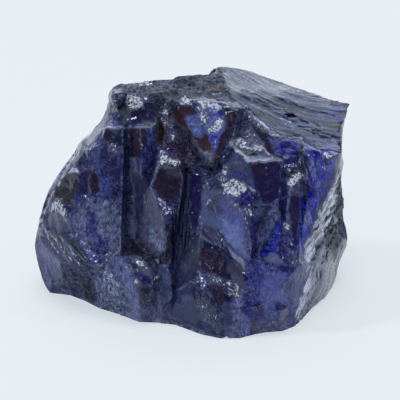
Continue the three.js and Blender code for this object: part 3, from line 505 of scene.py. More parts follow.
    ("indigo", "cloud", (16.8, -5.6), (18.2, -5.8), (19, -9), (19.2, -11.6), (17.6, -12.4), (16.4, -11.6),
     (15.4, -10), (15.8, -7.6)),
    ("grape", "glass", (18, 1.6), (19.6, 0.8), (20, -2), (19.4, -6), (19.4, -10), (18.4, -8), (17.6, -5.2),
     (17.6, -1)),
    ("fog", "glass", (12.4, -11.6), (14.4, -10.4), (15.4, -10.8), (16.4, -12), (17.6, -13), (16.2, -13.2),
     (14.4, -12.4)),
    ("mist", "glass", (16.6, -12), (19.2, -11.8), (20.2, -12), (19, -13.2), (17.6, -13.2)),
    ("sand", "chip", (17.8, -10), (19.2, -10), (19.2, -12.6), (18, -12.6)),
    ("deep", "cloud", (20, 2), (22.4, 2.8), (24, 2), (25.6, 3), (24.4, -1), (23.6, -4), (22, -7.6),
     (20.4, -11), (19.4, -11.4), (19.4, -8), (19.8, -3)),
    ("deep", "veil", (20.4, 1), (22.4, 1), (22.4, -4), (20.4, -4)),
    ("peri", "cloud", (20.6, -2.6), (22.4, -2.4), (22.2, -4.6), (21.2, -5.4), (20.8, -4)),
    ("deep", "cloud", (22.4, 6), (24, 5.6), (26, 4), (25, 0.4), (23.4, -1), (22.2, 1)),
    ("slate", "cloud", (19.8, 10.4), (21.2, 9.6), (22.2, 7), (22.4, 5), (20.4, 5.2), (19.8, 8)),
    ("deep", "glass", (15.6, 11.6), (16.6, 12.2), (19.2, 12), (19.8, 10.6), (18.6, 9.2), (17.6, 8.6),
     (16.2, 9.4)),
    ("indigo", "sheen", (16.8, 11.6), (18.6, 11.4), (18.6, 10), (17, 9.6)),
    ("cobalt", "cloud", (13.6, 12.4), (15.6, 12.4), (15.8, 10), (16.2, 9.2), (15.6, 8.6), (14.6, 9.6)),
    ("fog", "glass", (16.4, 9), (18, 9), (17.4, 8.3), (16.6, 8.3)),
    ("deep", "glass", (20.6, 10.8), (22.4, 10.8), (23.6, 9.6), (24.4, 7.4), (23.6, 5), (22.8, 6),
     (21.6, 8)),
    ("peri", "veil", (22, 9), (23.6, 8), (24.4, 3), (23, 2.4), (22, 6)),
    ("deep", "cloud", (23.6, 10.6), (26.4, 10.4), (27, 7), (26, 3.4), (24.4, 4.4), (24.4, 7.4)),
    ("white", "chip", (24.4, 9.6), (26.4, 9), (26.2, 6), (24.8, 6)),
    ("royal", "cloud", (25.6, 8), (27.6, 8), (27.4, 4), (25.6, 4.4)),
    ("peri", "cloud", (25.2, 8), (26.8, 8), (26.8, 6), (25.4, 6)),
    ("grape", "cloud", (27.2, 10.4), (28.6, 10.4), (28.2, 6), (27, 3), (26.4, 4.4)),
    ("white", "chip", (17.4, 4), (18.6, 5.2), (20.4, 5.8), (21, 5), (19.2, 3.6), (18.6, 2.6), (17.6, 2.6)),
    ("grape", "glass", (18.8, 2.6), (20, 4.2), (21.6, 4), (22.6, 2.4), (21.6, 1.2), (20, 1.4), (19.2, 1.6)),
    ("olive", "glass", (20.6, 1.4), (21.4, 1.4), (21.2, 0.2), (20.6, 0)),
    ("white", "chip", (16.4, -4.2), (17.8, -4.4), (17.8, -6), (16.6, -6)),
    # lower front
    ("slate", "glass", (-4.4, -12), (-1, -7), (0.6, -6), (0.4, -13), (-0.6, -16), (-4, -18), (-5, -17)),
    ("stone", "sheen", (-2, -9), (0, -7.4), (0, -12), (-3, -14)),
    ("steel", "glass", (-8, -13), (-6.4, -12.6), (-5.6, -16), (-6.2, -20), (-7.2, -22), (-8, -17)),
    ("mist", "cloud", (-9.6, -11.6), (-8, -12), (-7.8, -19), (-6.8, -24.4), (-9.6, -24.4), (-9.6, -16)),
    ("plum", "cloud", (-12.6, -15.2), (-9.6, -15.2), (-9.2, -20), (-9.6, -24.4), (-11.2, -24.4),
     (-12.4, -20)),
    ("wine", "cloud", (-12.2, -17), (-10, -17), (-10, -21), (-12, -21)),
    ("dove", "cloud", (-15, -14.4), (-13.2, -15), (-12.2, -19), (-12.4, -23.6), (-13.8, -21), (-15, -17)),
    ("fog", "glass", (-14, -11.4), (-11.6, -11.6), (-10, -13.6), (-9.6, -15), (-11.4, -14.8),
     (-12.8, -13.2)),
    ("white", "chip", (-13.6, -11.6), (-11.6, -11.8), (-10.2, -13.6), (-11, -14.4), (-12.4, -13.2)),
    ("grape", "glass", (-13.8, -12.4), (-12.6, -13), (-12, -14), (-13.4, -14)),
    ("pale", "chip", (-13.8, -13.2), (-12.4, -13.4), (-12, -14.4), (-13.2, -14.6)),
    ("indigo", "cloud", (-13.4, -14.4), (-11, -14.6), (-10.4, -16), (-11.6, -17.2), (-13, -16.6)),
    ("pale", "chip", (-13.4, -15.6), (-11.8, -15.8), (-11.6, -17.2), (-13, -17.2)),
    ("white", "chip", (-9.4, -14.6), (-8.2, -14.6), (-8, -15.9), (-9.4, -15.9)),
    ("mist", "glass", (0, -4.4), (3, -5.4), (4.4, -7.6), (4.2, -9.2), (2, -8.4), (0, -7.2)),
    ("wine", "cloud", (0, -9), (4, -9.6), (4.6, -12), (4, -15), (2, -15.4), (0, -14)),
    ("ink", "glass", (0.2, -7.6), (2, -8.6), (4, -9.4), (3.6, -10.2), (1, -9.6)),
    ("ink", "glass", (4, -10.6), (5, -11), (6.6, -14.4), (6.2, -16.4), (4.2, -15), (4.6, -12.4)),
    ("pale", "glass", (3.5, -6.4), (4.4, -8), (6.4, -11.2), (9.2, -14.2), (9.5, -12.8), (7.6, -11.1),
     (5.2, -8.7)),
    ("mist", "glass", (5.2, -12), (6.4, -11.4), (9, -14), (9.6, -16.4), (9.4, -18.4), (8.4, -18.4),
     (6.8, -16.4), (5.6, -14)),
    ("steel", "cloud", (0, -14.4), (4, -15), (4.4, -16.8), (1.4, -16.8)),
    ("pale", "chip", (4.8, -16), (7, -16), (9.2, -18.6), (8, -19.8), (5.6, -18.8)),
    ("fog", "chip", (1.6, -14.8), (4, -14.8), (4.8, -16.8), (2.4, -16.8)),
    ("wine", "glass", (1.6, -16.8), (4.2, -17.2), (5, -18.6), (4.6, -20.6), (3.4, -20.6), (2.2, -18.8)),
    ("slate", "glass", (-6.4, -20), (-4.8, -18.2), (-2, -16.2), (-1, -16.6), (-1.2, -19.2), (0, -22),
     (2.4, -25), (4.4, -27), (0, -26), (-3, -24.6), (-6.2, -23)),
    ("steel", "sheen", (-4.8, -19), (-2.4, -17.4), (-1.6, -19.4), (-3, -21)),
    ("slate", "cloud", (-1.4, -16.4), (0.6, -16.6), (3, -20.6), (4.8, -24), (5.4, -27.2), (3, -26.2),
     (1, -24), (-1.2, -20.4)),
    ("ink", "glass", (-1, -16.4), (0, -16.6), (0.4, -19.4), (-1.2, -19.6)),
    ("ink", "cloud", (-1.2, -17.4), (0.6, -16.8), (3.6, -21.2), (4.9, -26), (3, -26), (1.2, -23.2),
     (-1.2, -20)),
    ("slate", "chip", (0, -20), (1, -19.4), (3.2, -22), (4.8, -25.4), (3.6, -26), (1.4, -24),
     (-0.4, -21.6)),
    ("steel", "glass", (3.8, -20.6), (6.4, -20), (6.6, -25), (5.6, -27), (4.6, -23)),
    ("dove", "cloud", (6.2, -19.6), (10, -19), (10, -26.6), (6, -27.4)),
    ("cobalt", "veil", (9.6, -12.4), (15, -12.6), (20, -12.4), (22.4, -12.4), (19.6, -19), (18, -26),
     (10, -27.2), (8.4, -22)),
    ("cobalt", "cloud", (9.4, -12), (12.8, -12.4), (13, -15), (11, -18), (9.2, -18.4), (9, -15)),
    ("peri", "sheen", (12.8, -14.4), (17, -14.4), (17.4, -20), (14, -23), (11.6, -19)),
    ("indigo", "cloud", (15.4, -13), (19.6, -13.2), (18.6, -14.6), (16, -14.4)),
    ("indigo", "cloud", (9, -19.6), (12, -20.6), (13, -23.6), (10.4, -24.6), (8.6, -22)),
    ("indigo", "cloud", (16.4, -16), (18.8, -15.4), (18.4, -18.6), (16.8, -18.4)),
    ("indigo", "cloud", (15.2, -20.8), (18, -20.4), (17.8, -23), (15.4, -23.2)),
    ("mist", "veil", (10, -24.2), (18, -23.6), (18, -26.6), (10, -27.2)),
    # top face
    ("top", "line", (3.6, 27.2), (10, 26.6), (20, 23), (30.4, 19.8), (29, 16.6), (27.6, 14), (28.6, 10),
     (24, 10), (20, 12.4), (15, 12.6), (11.6, 15), (9.8, 16.4), (8.6, 19), (7.2, 20), (5.6, 22)),
    ("silver", "satin", (4, 27), (10, 26.4), (19, 23), (14, 20.4), (8, 21.6), (5, 23)),
    ("silver", "satin", (3.4, 27.4), (8, 27), (16, 24.6), (24, 21.8), (22, 21), (16, 22.8), (9, 25),
     (5, 25.6)),
    ("pale", "chip", (19, 23.4), (23.6, 22), (23.6, 20.8), (19.6, 21.6)),
    ("black", "cloud", (2.4, 26.8), (3.5, 27.2), (4.2, 25.6), (3, 25)),
    ("steel", "line", (7.6, 21.6), (12, 20), (20, 16), (28, 12), (28, 10.4), (20, 13.6), (12, 18),
     (8, 20.4)),
    ("cobalt", "line", (26.4, 20), (30.2, 19.6), (29.6, 17), (28.6, 15.4), (26.2, 16.4)),
    ("dove", "satin", (20, 13), (27.6, 12.4), (28.6, 10), (24, 10.2), (20.4, 11.6)),
    ("pale", "chip", (8.8, 19), (9.6, 19), (11.6, 15.8), (15, 13), (20, 12.6), (24, 10.4), (23.6, 9.8),
     (19.8, 12), (15, 12.2), (11, 14.8), (9.6, 16.4)),
    ("fog", "glass", (9.4, 18.3), (10, 18), (12, 16), (14.9, 13.7), (16, 12.8), (15.5, 12.6), (14.6, 13.3),
     (11.7, 15.6), (9.7, 17.6)),
    # right side
    ("slate", "rind", (22.4, -11.8), (25.4, -7.4), (28, -4), (29, -1), (31, -5), (29.6, -12), (26.6, -20),
     (18, -27), (18, -24), (20, -19)),
    ("snow", "line", (20.4, -11.6), (22, -8), (24, -4), (26, 0.4), (27, 3.2), (27.8, 3.2), (27.6, 0),
     (26.8, -3), (25, -6.4), (23, -10), (22.2, -11.8)),
    ("white", "line", (21.3, -8.8), (22.6, -7.2), (24, -8.6), (23, -12), (21.6, -15), (20.8, -13)),
    ("stone", "rind", (27.4, 4), (29, 4), (29.4, -1), (28.6, -5), (27.2, -3)),
    ("silver", "satin", (22.6, -11.6), (26.4, -6.4), (29.6, -8), (30.4, -12), (28.4, -17), (25.4, -21.4),
     (22, -24.6), (19.6, -26), (20.2, -24), (21.4, -18)),
    ("cobalt", "cloud", (18.6, -12.4), (22, -12.4), (20.8, -18), (19.8, -24), (17.4, -26), (17.4, -18)),
    ("ink", "line", (25.8, -4.6), (27.6, -4.6), (28.2, -8), (27, -12.4), (26, -10), (25.6, -7)),
    ("white", "line", (22, -12.4), (22.6, -12.6), (20.8, -20), (19.6, -24), (18.8, -23)),
]

# Thin lines of the front, laid over the patches: tone, width in mm, corners across and up. The pale ones
# along arrises and ledges are painted highlights; the dark ones are cracks, grooves and dark growth lines.
STROKES = [
    # columns, ledges and knob
    ("pale", 0.32, (-19.6, 14.4), (-14.8, 14.4)),
    ("fog", 0.3, (-14, 14.6), (-9.2, 14.5)),
    ("pale", 0.32, (-7.8, 9), (-9.6, 3)),
    ("sand", 0.2, (0.8, 7.2), (1.8, 6.6), (2.8, 6.6), (3.8, 7.6)),
    ("fog", 0.16, (0.1, 8.6), (0.2, 9.2), (1.4, 9.4)),
    ("ink", 0.3, (-5, -4), (-5.2, -10), (-5.8, -17)),
    # silver facet and bulge
    ("snow", 0.4, (6.1, 10.9), (6.8, 10.2), (8.4, 9.2), (9.9, 7.8)),
    ("snow", 0.35, (6.1, 11), (6.8, 12), (8, 12.4)),
    ("white", 0.3, (9.9, 7.6), (12.2, 7.9), (14.5, 8.1)),
    ("white", 0.35, (10.6, 10.8), (12.6, 10), (14.4, 8.3)),
    ("white", 0.32, (8.6, 3.2), (10.8, 2)),
    ("white", 0.3, (1.3, 3.6), (1.7, 2.4)),
    ("fog", 0.2, (2, 0.2), (2.8, -1), (3, -2.6)),
    ("black", 0.25, (9.8, -0.6), (11, -1.4), (12.6, -1.4)),
    ("ink", 0.3, (3.4, -5.8), (5.2, -8.4), (8, -11), (9.4, -12.4)),
    ("pale", 0.25, (0, -7.2), (2, -8.2), (4, -9.2)),
    ("pale", 0.25, (-0.1, -12.4), (0, -14)),
    # right columns
    ("fog", 0.3, (17.9, 2), (17.4, -1), (17.3, -4.6)),
    ("fog", 0.32, (18, 2.4), (19.2, 1.6), (20.4, 1.2)),
    ("fog", 0.2, (15.4, -10), (15.9, -7.6), (16.8, -5.6)),
    ("ink", 0.3, (16.2, -13.2), (17.6, -13.4), (18.6, -14)),
    ("pale", 0.32, (20.8, -14), (22, -13)),
    # the top's front edge, pit and growth lines
    ("snow", 0.35, (9.8, 17.4), (11.6, 16), (14.2, 13.8), (15.6, 12.7)),
    ("white", 0.3, (15.6, 12.7), (20, 12.4), (21, 11.4), (23, 10)),
    ("black", 0.3, (17.2, 17), (17.8, 17.3), (18.8, 17)),
    ("navy", 0.4, (8.4, 22), (12, 20.8), (16, 18.2), (20, 16), (24, 14.6)),
    ("ink", 0.3, (9, 20.8), (13, 18.8), (17, 16.4), (22, 13.4), (26, 12)),
    ("ink", 0.25, (16, 20.4), (20, 18.6), (24, 17.4), (27, 16.8)),
    ("navy", 0.3, (20, 14.8), (24, 13.4), (28, 12)),
    ("pale", 0.2, (10, 19.4), (14, 17.4), (18, 15.4)),
    ("pale", 0.25, (11, 22.6), (15, 21.4), (20, 19.6)),
    # right side
    ("black", 0.4, (27.8, 11.6), (28.3, 10)),
    ("black", 0.5, (27.6, 6), (28.5, 3.4)),
    ("black", 0.4, (27.9, 2.4), (28.4, -1)),
    ("black", 0.5, (28.6, -2), (29.6, -6)),
    ("black", 0.35, (26.2, 1.4), (25, -1.4), (23.8, -3.4)),
    ("black", 0.3, (27, -1), (25.6, -4)),
    ("black", 0.3, (28.4, 4.4), (27.6, 2)),
    ("black", 0.3, (27.8, -1), (26.6, -3.4), (25.8, -5.6)),
    ("black", 0.25, (26.6, -2.4), (25.4, -4.4)),
    ("black", 0.25, (25, -1), (23.8, -3.2)),
    ("black", 0.25, (24.4, -4.4), (23, -6.6)),
    ("black", 0.3, (27.2, -6.4), (26.2, -9.4), (25.4, -12)),
    ("black", 0.25, (25.4, -9.4), (24.2, -13), (23.4, -16)),
    ("ink", 0.3, (28.4, -9), (27.6, -13), (26.4, -17)),
    ("ink", 0.25, (23.2, -14.4), (22.4, -18), (21.4, -21.4)),
    ("snow", 0.4, (27.4, 4.4), (26.4, 1.8), (24.8, -2), (23, -6), (21, -10.4)),
    ("snow", 0.35, (27.2, 1), (25.8, -2.6), (24, -6.4)),
    ("black", 0.5, (22.6, -12), (23.6, -10.4), (25.4, -7.4), (28.2, -3.8)),
    ("ink", 0.3, (24.6, -14), (24, -17)),
    ("pale", 0.3, (26.4, -8), (25, -12.4), (23.6, -18)),
    # left flank
    ("indigo", 0.7, (-21.8, -2), (-21, -5), (-19.6, -8.4)),
    ("fog", 0.3, (-20.6, -0.2), (-18.8, -2.4), (-17, -3.2)),
    ("peri", 0.3, (-17.6, -3.6), (-17, -6), (-17.4, -8.6)),
    ("snow", 0.3, (-31.6, -5), (-30, -8), (-28.4, -10.4)),
    ("snow", 0.3, (-30, -6.4), (-27.6, -9.6), (-25.6, -12)),
    ("white", 0.25, (-28, -7), (-25, -11)),
    ("ink", 0.3, (-30.4, -5.6), (-29, -7.6)),
    ("fog", 0.2, (-23, 1), (-22.4, 0.2), (-21.6, 0), (-20.4, 1), (-19, 1.6)),
    ("snow", 0.35, (-20.6, 16.6), (-21.8, 13.6), (-23.6, 10.4), (-25.6, 7)),
    ("snow", 0.35, (-22.6, 13), (-24.4, 10), (-26.6, 6.4), (-28.4, 3)),
    ("black", 0.35, (-22.4, 13.8), (-24, 11.4), (-25.4, 9)),
    ("black", 0.35, (-26.4, 7.6), (-28, 5.2)),
    ("ink", 0.3, (-24.4, 9), (-26, 6.6)),
    ("snow", 0.35, (-29.4, 1.6), (-31, -1.6), (-32, -4.4)),
    ("black", 0.3, (-30.4, 1), (-31.6, -1.6)),
    # lower front
    ("fog", 0.3, (0.1, -16.2), (2.4, -19.2), (3.4, -20.8)),
    ("fog", 0.3, (-6.4, -20), (-4.8, -18.1), (-2, -16.1), (-0.9, -16.5)),
    ("ink", 0.3, (-0.9, -16.7), (-1.1, -19.2), (0, -22), (2.4, -25)),
    ("pale", 0.16, (12.4, -21), (13.4, -20)),
    ("pale", 0.16, (12.8, -21.4), (13.8, -20.6)),
]

# Rounded lumps and, below zero, hollows: centre across and up, radius and height in mm.
LUMPS = [
    (-16.2, 20.6, 2.2, 0.9),
    (1.7, 26.2, 1.8, -0.9),
    (-24, 11.6, 2.4, 0.6),
    (-20.2, 16.8, 2.8, -0.4),
    (25, -18.6, 5, 0.9),
    (4.4, 26.9, 1.4, 0.5),
    (1.9, 8, 1.8, 0.6),
    (-1.4, 15, 1.2, 0.3),
]

# ---------------------------------------------------------------- laying

# How much of a tone's light comes back out of the crystal, how far its hues are pulled apart, and how much
# each colour keeps at least.
DEPTH = 0.56
RICHNESS = 1.16
LEAST = 0.1
GAMMA = 2.2
# The sides' tones, each with the drift where it begins and where it is whole. Below them all is navy.
SIDE_TONES = (("dusk", -0.1, 0.25), ("cobalt", 0.35, 0.6), ("slate", 0.7, 0.9))
# How far a point must face the front to be reached by patches and strokes, and by lumps.
PATCH_FACING = (0, 0.12)
LUMP_FACING = (-0.6, -0.3)
# How far the outlines wander, in mm, and the length of each wave.
WARPS = ((0.22, 2), (0.2, 0.8))
# How far past its corners a patch is looked for, in mm, and how ragged its edge is.
MARGIN = 2
RAGGED = 0.8
# Each patch lies on a step of its own: its height in mm, its slope, and the most that both may add.
STEP = 0.08
TILT = 0.05
STEP_LIMIT = 0.2
SEAM_WIDTH = 0.2
# How far strokes of some tones and of the others stand out in mm, and the ragged noise that breaks them.
RIDGES = {"black": -0.35, "ink": -0.08, "navy": -0.05}
RIDGE = 0.1
STROKE_BREAKS = (-0.5, 0.1)


def linear(name):
    """Linear red, green and blue of a tone, in the crystal's depth."""
    plain = np.array([DEPTH * (value / 255) ** GAMMA for value in TONES[name]])
    return np.maximum(plain.mean() + (plain - plain.mean()) * RICHNESS, LEAST * plain)


SEED = 20
LATTICE = 256
SEED_STEP = 17.3
NOISE_GAIN = 1.6
draw = np.random.default_rng(SEED)
shuffle = draw.permutation(LATTICE)
slopes = unit(draw.normal(size=(LATTICE, 3)))


def noise_at(rows, size, seed):
    """Smooth noise, about -1 to 1, at rows of x, y, z in mm, with features of the size."""
    scaled = rows / size + seed * SEED_STEP
    cell = np.floor(scaled).astype(int)
    inner = scaled - cell
    fade = inner**3 * (inner * (inner * 6 - 15) + 10)
    total = np.zeros(len(rows))
    for corner in np.ndindex(2, 2, 2):
        step = np.array(corner)
        mixed = np.zeros(len(rows), int)
        for k in range(3):
            mixed = shuffle[(mixed + cell[:, k] + step[k]) % LATTICE]
        weight = np.prod(np.where(step, fade, 1 - fade), axis=1)
        total += weight * ((inner - step) * slopes[mixed]).sum(axis=1)
    return total * NOISE_GAIN


def beside(flat, start, end):
    """How far each flat point is from the line between two others, in mm."""
    start, end = np.array(start), np.array(end)
    side = end - start
    along = np.clip((flat - start) @ side / max(side @ side, TINY), 0, 1)
    return np.linalg.norm(flat - start - along[:, None] * side, axis=1)


def depth_inside(flat, corners):
    """How far each flat point is inside the polygon, in mm; below zero outside."""
    inside = np.zeros(len(flat), bool)
    nearest = np.full(len(flat), FAR)
    for start, end in zip(corners, corners[1:] + corners[:1]):
        nearest = np.minimum(nearest, beside(flat, start, end))
        side = np.array(end) - np.array(start)
        crosses = (flat[:, 1] < start[1]) != (flat[:, 1] < end[1])
        rise = side[1] if side[1] else TINY
        inside ^= crosses & (flat[:, 0] < start[0] + side[0] * (flat[:, 1] - start[1]) / rise)
    return np.where(inside, nearest, -nearest)


def smooth(low, high, values):
    """How far each value is from low to high, 0 to 1, eased at both ends."""
    share = np.clip((values - low) / (high - low), 0, 1)
    return share * share * (3 - 2 * share)


def window(values, begin, full, fall, end):
    """One between full and fall, nothing before begin and after end."""
    return smooth(begin, full, values) * smooth(end, fall, values)


layout = to_layout(points)
facing_front = point_normals(points, faces) @ np.array(TOWARD_FRONT)
warped = layout[:, :2].copy()
for k in range(2):
    for reach, size in WARPS:
        warped[:, k] += reach * noise_at(points, size, seed=k + 1)

# every point starts with the sides' tones
drift = noise_at(points, 7, seed=5) + 0.5 * noise_at(points, 2.6, seed=6)
tone = np.zeros((len(points), 3)) + linear("navy")
for name, start, end in SIDE_TONES:
    share = smooth(start, end, drift)[:, None]
    tone = tone * (1 - share) + linear(name) * share
detail = np.zeros((len(points), 4)) + np.array(FINISHES["cloud"])

front = smooth(*PATCH_FACING, facing_front)
ragged = noise_at(points, 1.1, seed=31)
seam = np.zeros(len(points))
step = np.zeros(len(points))
for name, finish, *corners in PATCHES:
    outline = np.array(corners)
    least, most = outline.min(axis=0) - MARGIN, outline.max(axis=0) + MARGIN
    near = np.all((warped > least) & (warped < most), axis=1) & (front > 0)
    depth = depth_inside(warped[near], corners)
    fade = FADES[finish]
    share = smooth(-fade, fade, depth + fade * RAGGED * ragged[near]) * front[near]
    # Each patch's edge leaves a seam, later a painted highlight or a dark crack by the seam noise.
    rim = np.exp(-((depth / SEAM_WIDTH) ** 2)) * front[near] * (fade < SEAM_WIDTH)
    seam[near] = np.maximum(seam[near] * (1 - share), rim)
    plane = draw.uniform(-STEP, STEP) + (warped[near] - outline.mean(axis=0)) @ draw.uniform(-TILT, TILT, 2)
    step[near] = step[near] * (1 - share) + np.clip(plane, -STEP_LIMIT, STEP_LIMIT) * share
    share = share[:, None]
    if finish == "chip":
        detail[near, 1] = np.maximum(detail[near, 1], share[:, 0] * COVER[name])
        continue
    tone[near] = tone[near] * (1 - share) + linear(name) * share
    detail[near] = detail[near] * (1 - share) + np.array(FINISHES[finish]) * share

for name, width, *corners in STROKES:
    away = np.full(len(points), FAR)
    for start, end in zip(corners, corners[1:]):
        away = np.minimum(away, beside(warped, start, end))
    share = (smooth(width, 0, away) * front * smooth(*STROKE_BREAKS, ragged))[:, None]
    tone = tone * (1 - share) + linear(name) * share
    detail = detail * (1 - share) + np.array(FINISHES["glass"]) * share
    step += share[:, 0] * RIDGES.get(name, RIDGE)
for across, up, radius, height in LUMPS:
    away = np.linalg.norm(layout[:, :2] - np.array([across, up]), axis=1) / radius
    step += height * smooth(*LUMP_FACING, facing_front) * np.maximum(1 - away**2, 0)

# ---------------------------------------------------------------- growth lines

# The lines of the top run along the first direction and bow a little about the middle of their length.
TOP_ALONG = (0.89, -0.45)
TOP_ACROSS = (0.45, 0.89)
TOP_MIDDLE = 12
TOP_BOW = 0.012
# Elsewhere they run another way: each zone's corners, and the lines' direction.
LINE_ZONES = {
    "rim": ((-33.6, -4.4), (-25, 20), (0.5, 0.87)),
    "flank": ((-33, -16), (-20, -3), (0.6, -0.8)),
    "middle": ((-10, -25), (1, 20), (0.06, 1)),
    "side": ((17, -28), (32, 7), (-0.4, -0.92)),
}
# How often the lines change in a mm across them and, far less, along them and outwards.
OFTEN = 2.1
SELDOM = 0.16

flat = layout[:, :2]
cross = flat @ np.array(TOP_ACROSS) - TOP_BOW * (flat[:, 0] - TOP_MIDDLE) ** 2
along = flat @ np.array(TOP_ALONG)
for start, end, direction in LINE_ZONES.values():
    zone = np.all((flat > start) & (flat < end), axis=1)
    run = np.array(direction)
    cross = np.where(zone, flat @ np.array([run[1], -run[0]]), cross)
    along = np.where(zone, flat @ run, along)
grain = np.stack([cross * OFTEN, along * SELDOM, layout[:, 2] * SELDOM], axis=1)

# ---------------------------------------------------------------- relief

# Heights in mm.
SWELL = 0.07
CLOUD_SWELL = 0.05
CHIP_CREST = 0.25
CHIP_GRAIN = 0.1
CRUMBS = 0.45
CRUST_GRAIN = 0.12
LINE_RIDGE = 0.13
# The flutes: where they begin, are whole, fade and end, across and up, then their size in mm.
FLUTES_ACROSS = (19.6, 20.4, 25.6, 27)
FLUTES_UP = (-13, -11, 8, 9.6)
FLUTE_WIDTH = 2
FLUTE_DEPTH = 0.8
FLUTE_LEAN = 0.12
FLUTE_SWAY = 0.5
FLUTE_TURN = 0.85


def ridged(values):
    """Sharp crests where the values pass through zero."""
    return 1 - 2 * np.abs(values)


cloud, chip, crust, line = detail.T
normals = point_normals(points, faces)
relief = step + SWELL * noise_at(points, 2.6, seed=11) + cloud * CLOUD_SWELL * noise_at(points, 1, seed=17)
splintered = CHIP_CREST * ridged(noise_at(points, 1.3, seed=12)) + CHIP_GRAIN * noise_at(points, 0.6, seed=13)
relief += chip * splintered
crumbled = CRUMBS * noise_at(points, 1.6, seed=14) + CRUST_GRAIN * noise_at(points, 0.6, seed=15)
relief += crust * crumbled
relief += line * LINE_RIDGE * noise_at(grain * [1, 1, 0], 1, seed=16)
# flutes up the front's right end, each turned a little to the front
share = window(layout[:, 0], *FLUTES_ACROSS) * front * window(layout[:, 1], *FLUTES_UP)
sway = FLUTE_SWAY * noise_at(points, 4, seed=18)
flute = ((layout[:, 0] + FLUTE_LEAN * layout[:, 1] + sway) / FLUTE_WIDTH) % 1
relief -= FLUTE_DEPTH * share * (1 - flute * smooth(1, FLUTE_TURN, flute))
on_base = points[:, 2] < BASE_TOP
relief[on_base] = 0
points = points + normals * relief[:, None]
box_low, box_high = (np.array(corner) / MM for corner in cad_box)
points = np.clip(points, box_low, box_high)

# ---------------------------------------------------------------- wear, painted highlights and painted shade

# How many neighbours away a point is compared, and how far in mm it stands out to be worn with a painted
# highlight, or lies in to get painted shade.
REACH = 3
PROUD = (0.04, 0.16)
SUNKEN = (0.03, 0.2)
# The noise that breaks the worn arrises, and that makes a seam a painted highlight where it is high and a
# dark crack where it is low.
WEAR_BREAKS = (-0.5, 0.2)
SEAM_BREAKS = (0, 0.4)

sides = sides_of(faces)
spread = points.copy()
degree = np.bincount(sides.ravel(), minlength=len(points))[:, None]
for _ in range(REACH):
    total = gather(sides[:, 0], spread[sides[:, 1]], len(points))
    total += gather(sides[:, 1], spread[sides[:, 0]], len(points))
    spread = total / degree
proud = ((points - spread) * point_normals(points, faces)).sum(axis=1)
# Arrises that stand out are worn pale, which also paints a highlight along them.
arris = smooth(*PROUD, proud) * smooth(*WEAR_BREAKS, noise_at(points, 1.5, seed=21))
# Points that lie in get painted shade.
hollow_shade = smooth(*SUNKEN, -proud)
seam_drift = noise_at(points, 2, seed=22)
# Where the seam noise is high a seam is a painted highlight along a patch's edge; where it is low, a dark
# crack.
seam_highlight = seam * smooth(*SEAM_BREAKS, seam_drift)
seam_dark = seam * smooth(*SEAM_BREAKS, -seam_drift)

# ---------------------------------------------------------------- the stone

SHARP = math.radians(30)

stone_mesh = bpy.data.meshes.new("rough_sapphire_stone")
stone_mesh.from_pydata(points * MM, [], faces)
stone_mesh.polygons.foreach_set("use_smooth", [True] * len(stone_mesh.polygons))
stone_mesh.set_sharp_from_angle(angle=SHARP)
stone = bpy.data.objects.new("rough_sapphire_stone", stone_mesh)
bpy.context.scene.collection.objects.link(stone)


def keep(name, kind, field, rows):
    """Stores a row of values for each point on the mesh."""
    layer = stone_mesh.attributes.new(name, kind, "POINT")
    layer.data.foreach_set(field, rows.astype(np.float32).ravel())


keep("tone", "FLOAT_COLOR", "color", np.column_stack([tone, np.ones(len(points))]))
keep("detail", "FLOAT_COLOR", "color", detail)
keep("grain", "FLOAT_VECTOR", "vector", grain)
# Per point: worn arrises that also paint a highlight, painted shade in hollows, and seams of painted
# highlight and of dark crack.
keep("wear_and_painted_light", "FLOAT_COLOR", "color", np.column_stack([arris, hollow_shade, seam_highlight, seam_dark]))

# ---------------------------------------------------------------- crystal

# Coats over the stone's own tones, some of them painted highlights and painted shade: how strongly each
# covers at most, and its linear colour.
MIST = (0.55, (0.16, 0.19, 0.33, 1))
GAP = (0.7, (0.008, 0.009, 0.02, 1))
# Specks of dust that are also painted glints.
DUST_AND_GLINT = (0.6, (0.4, 0.46, 0.6, 1))
# The worn arrises' coat is also a painted highlight along the edges.
WORN_EDGE_HIGHLIGHT = (0.55, (0.26, 0.3, 0.42, 1))
# Seams: first a painted highlight, then a dark crack.
SEAM_HIGHLIGHT = (0.26, (0.16, 0.19, 0.3, 1))
DARK_SEAM = (0.6, (0.008, 0.009, 0.025, 1))
# The hollows' coat is painted shade.
HOLLOW_SHADE = (0.4, (0.006, 0.007, 0.02, 1))
# Pale threads in the clouds: how often they repeat in a mm, how wide they are, and their coat.
THREAD = (0.24, 0.28, 0.5, 1)
THREADS = ((0.8, 0.022, (0.5, THREAD)), (1.7, 0.03, (0.35, THREAD)))
# What the clouds' hue is multiplied by, from one drift of the noise to the other.
COOL = (0.92, 1.03, 1.0, 1)
WARM = (1.12, 0.96, 1.03, 1)
# A splinter's colour where a glint is painted on it: dim, and bright, which takes a little of the tone below,
# made lighter.
DIM_GLEAM = (0.12, 0.15, 0.3, 1)
GLEAM = (0.93, 1, 1.12, 1)
GLEAM_FROM_TONE = 0.12
LIGHTER = (4, 4, 4, 1)
GLEAM_SHARE = 0.94
WHITE = (1, 1, 1, 1)
# How bright a splinter's painted glint is by its two cells, the chip's drift and how deep in the chip it
# lies.
GLEAM_PARTS = (0.3, 0.35, 0.9, 0.35)
# How much the stone is mottled outside the clouds, and how much cells add to the hackle's noise.
MOTTLED = 0.15
HACKLE_PART = 0.85
CELL_PART = 0.075
LACE_MORE = 0.02

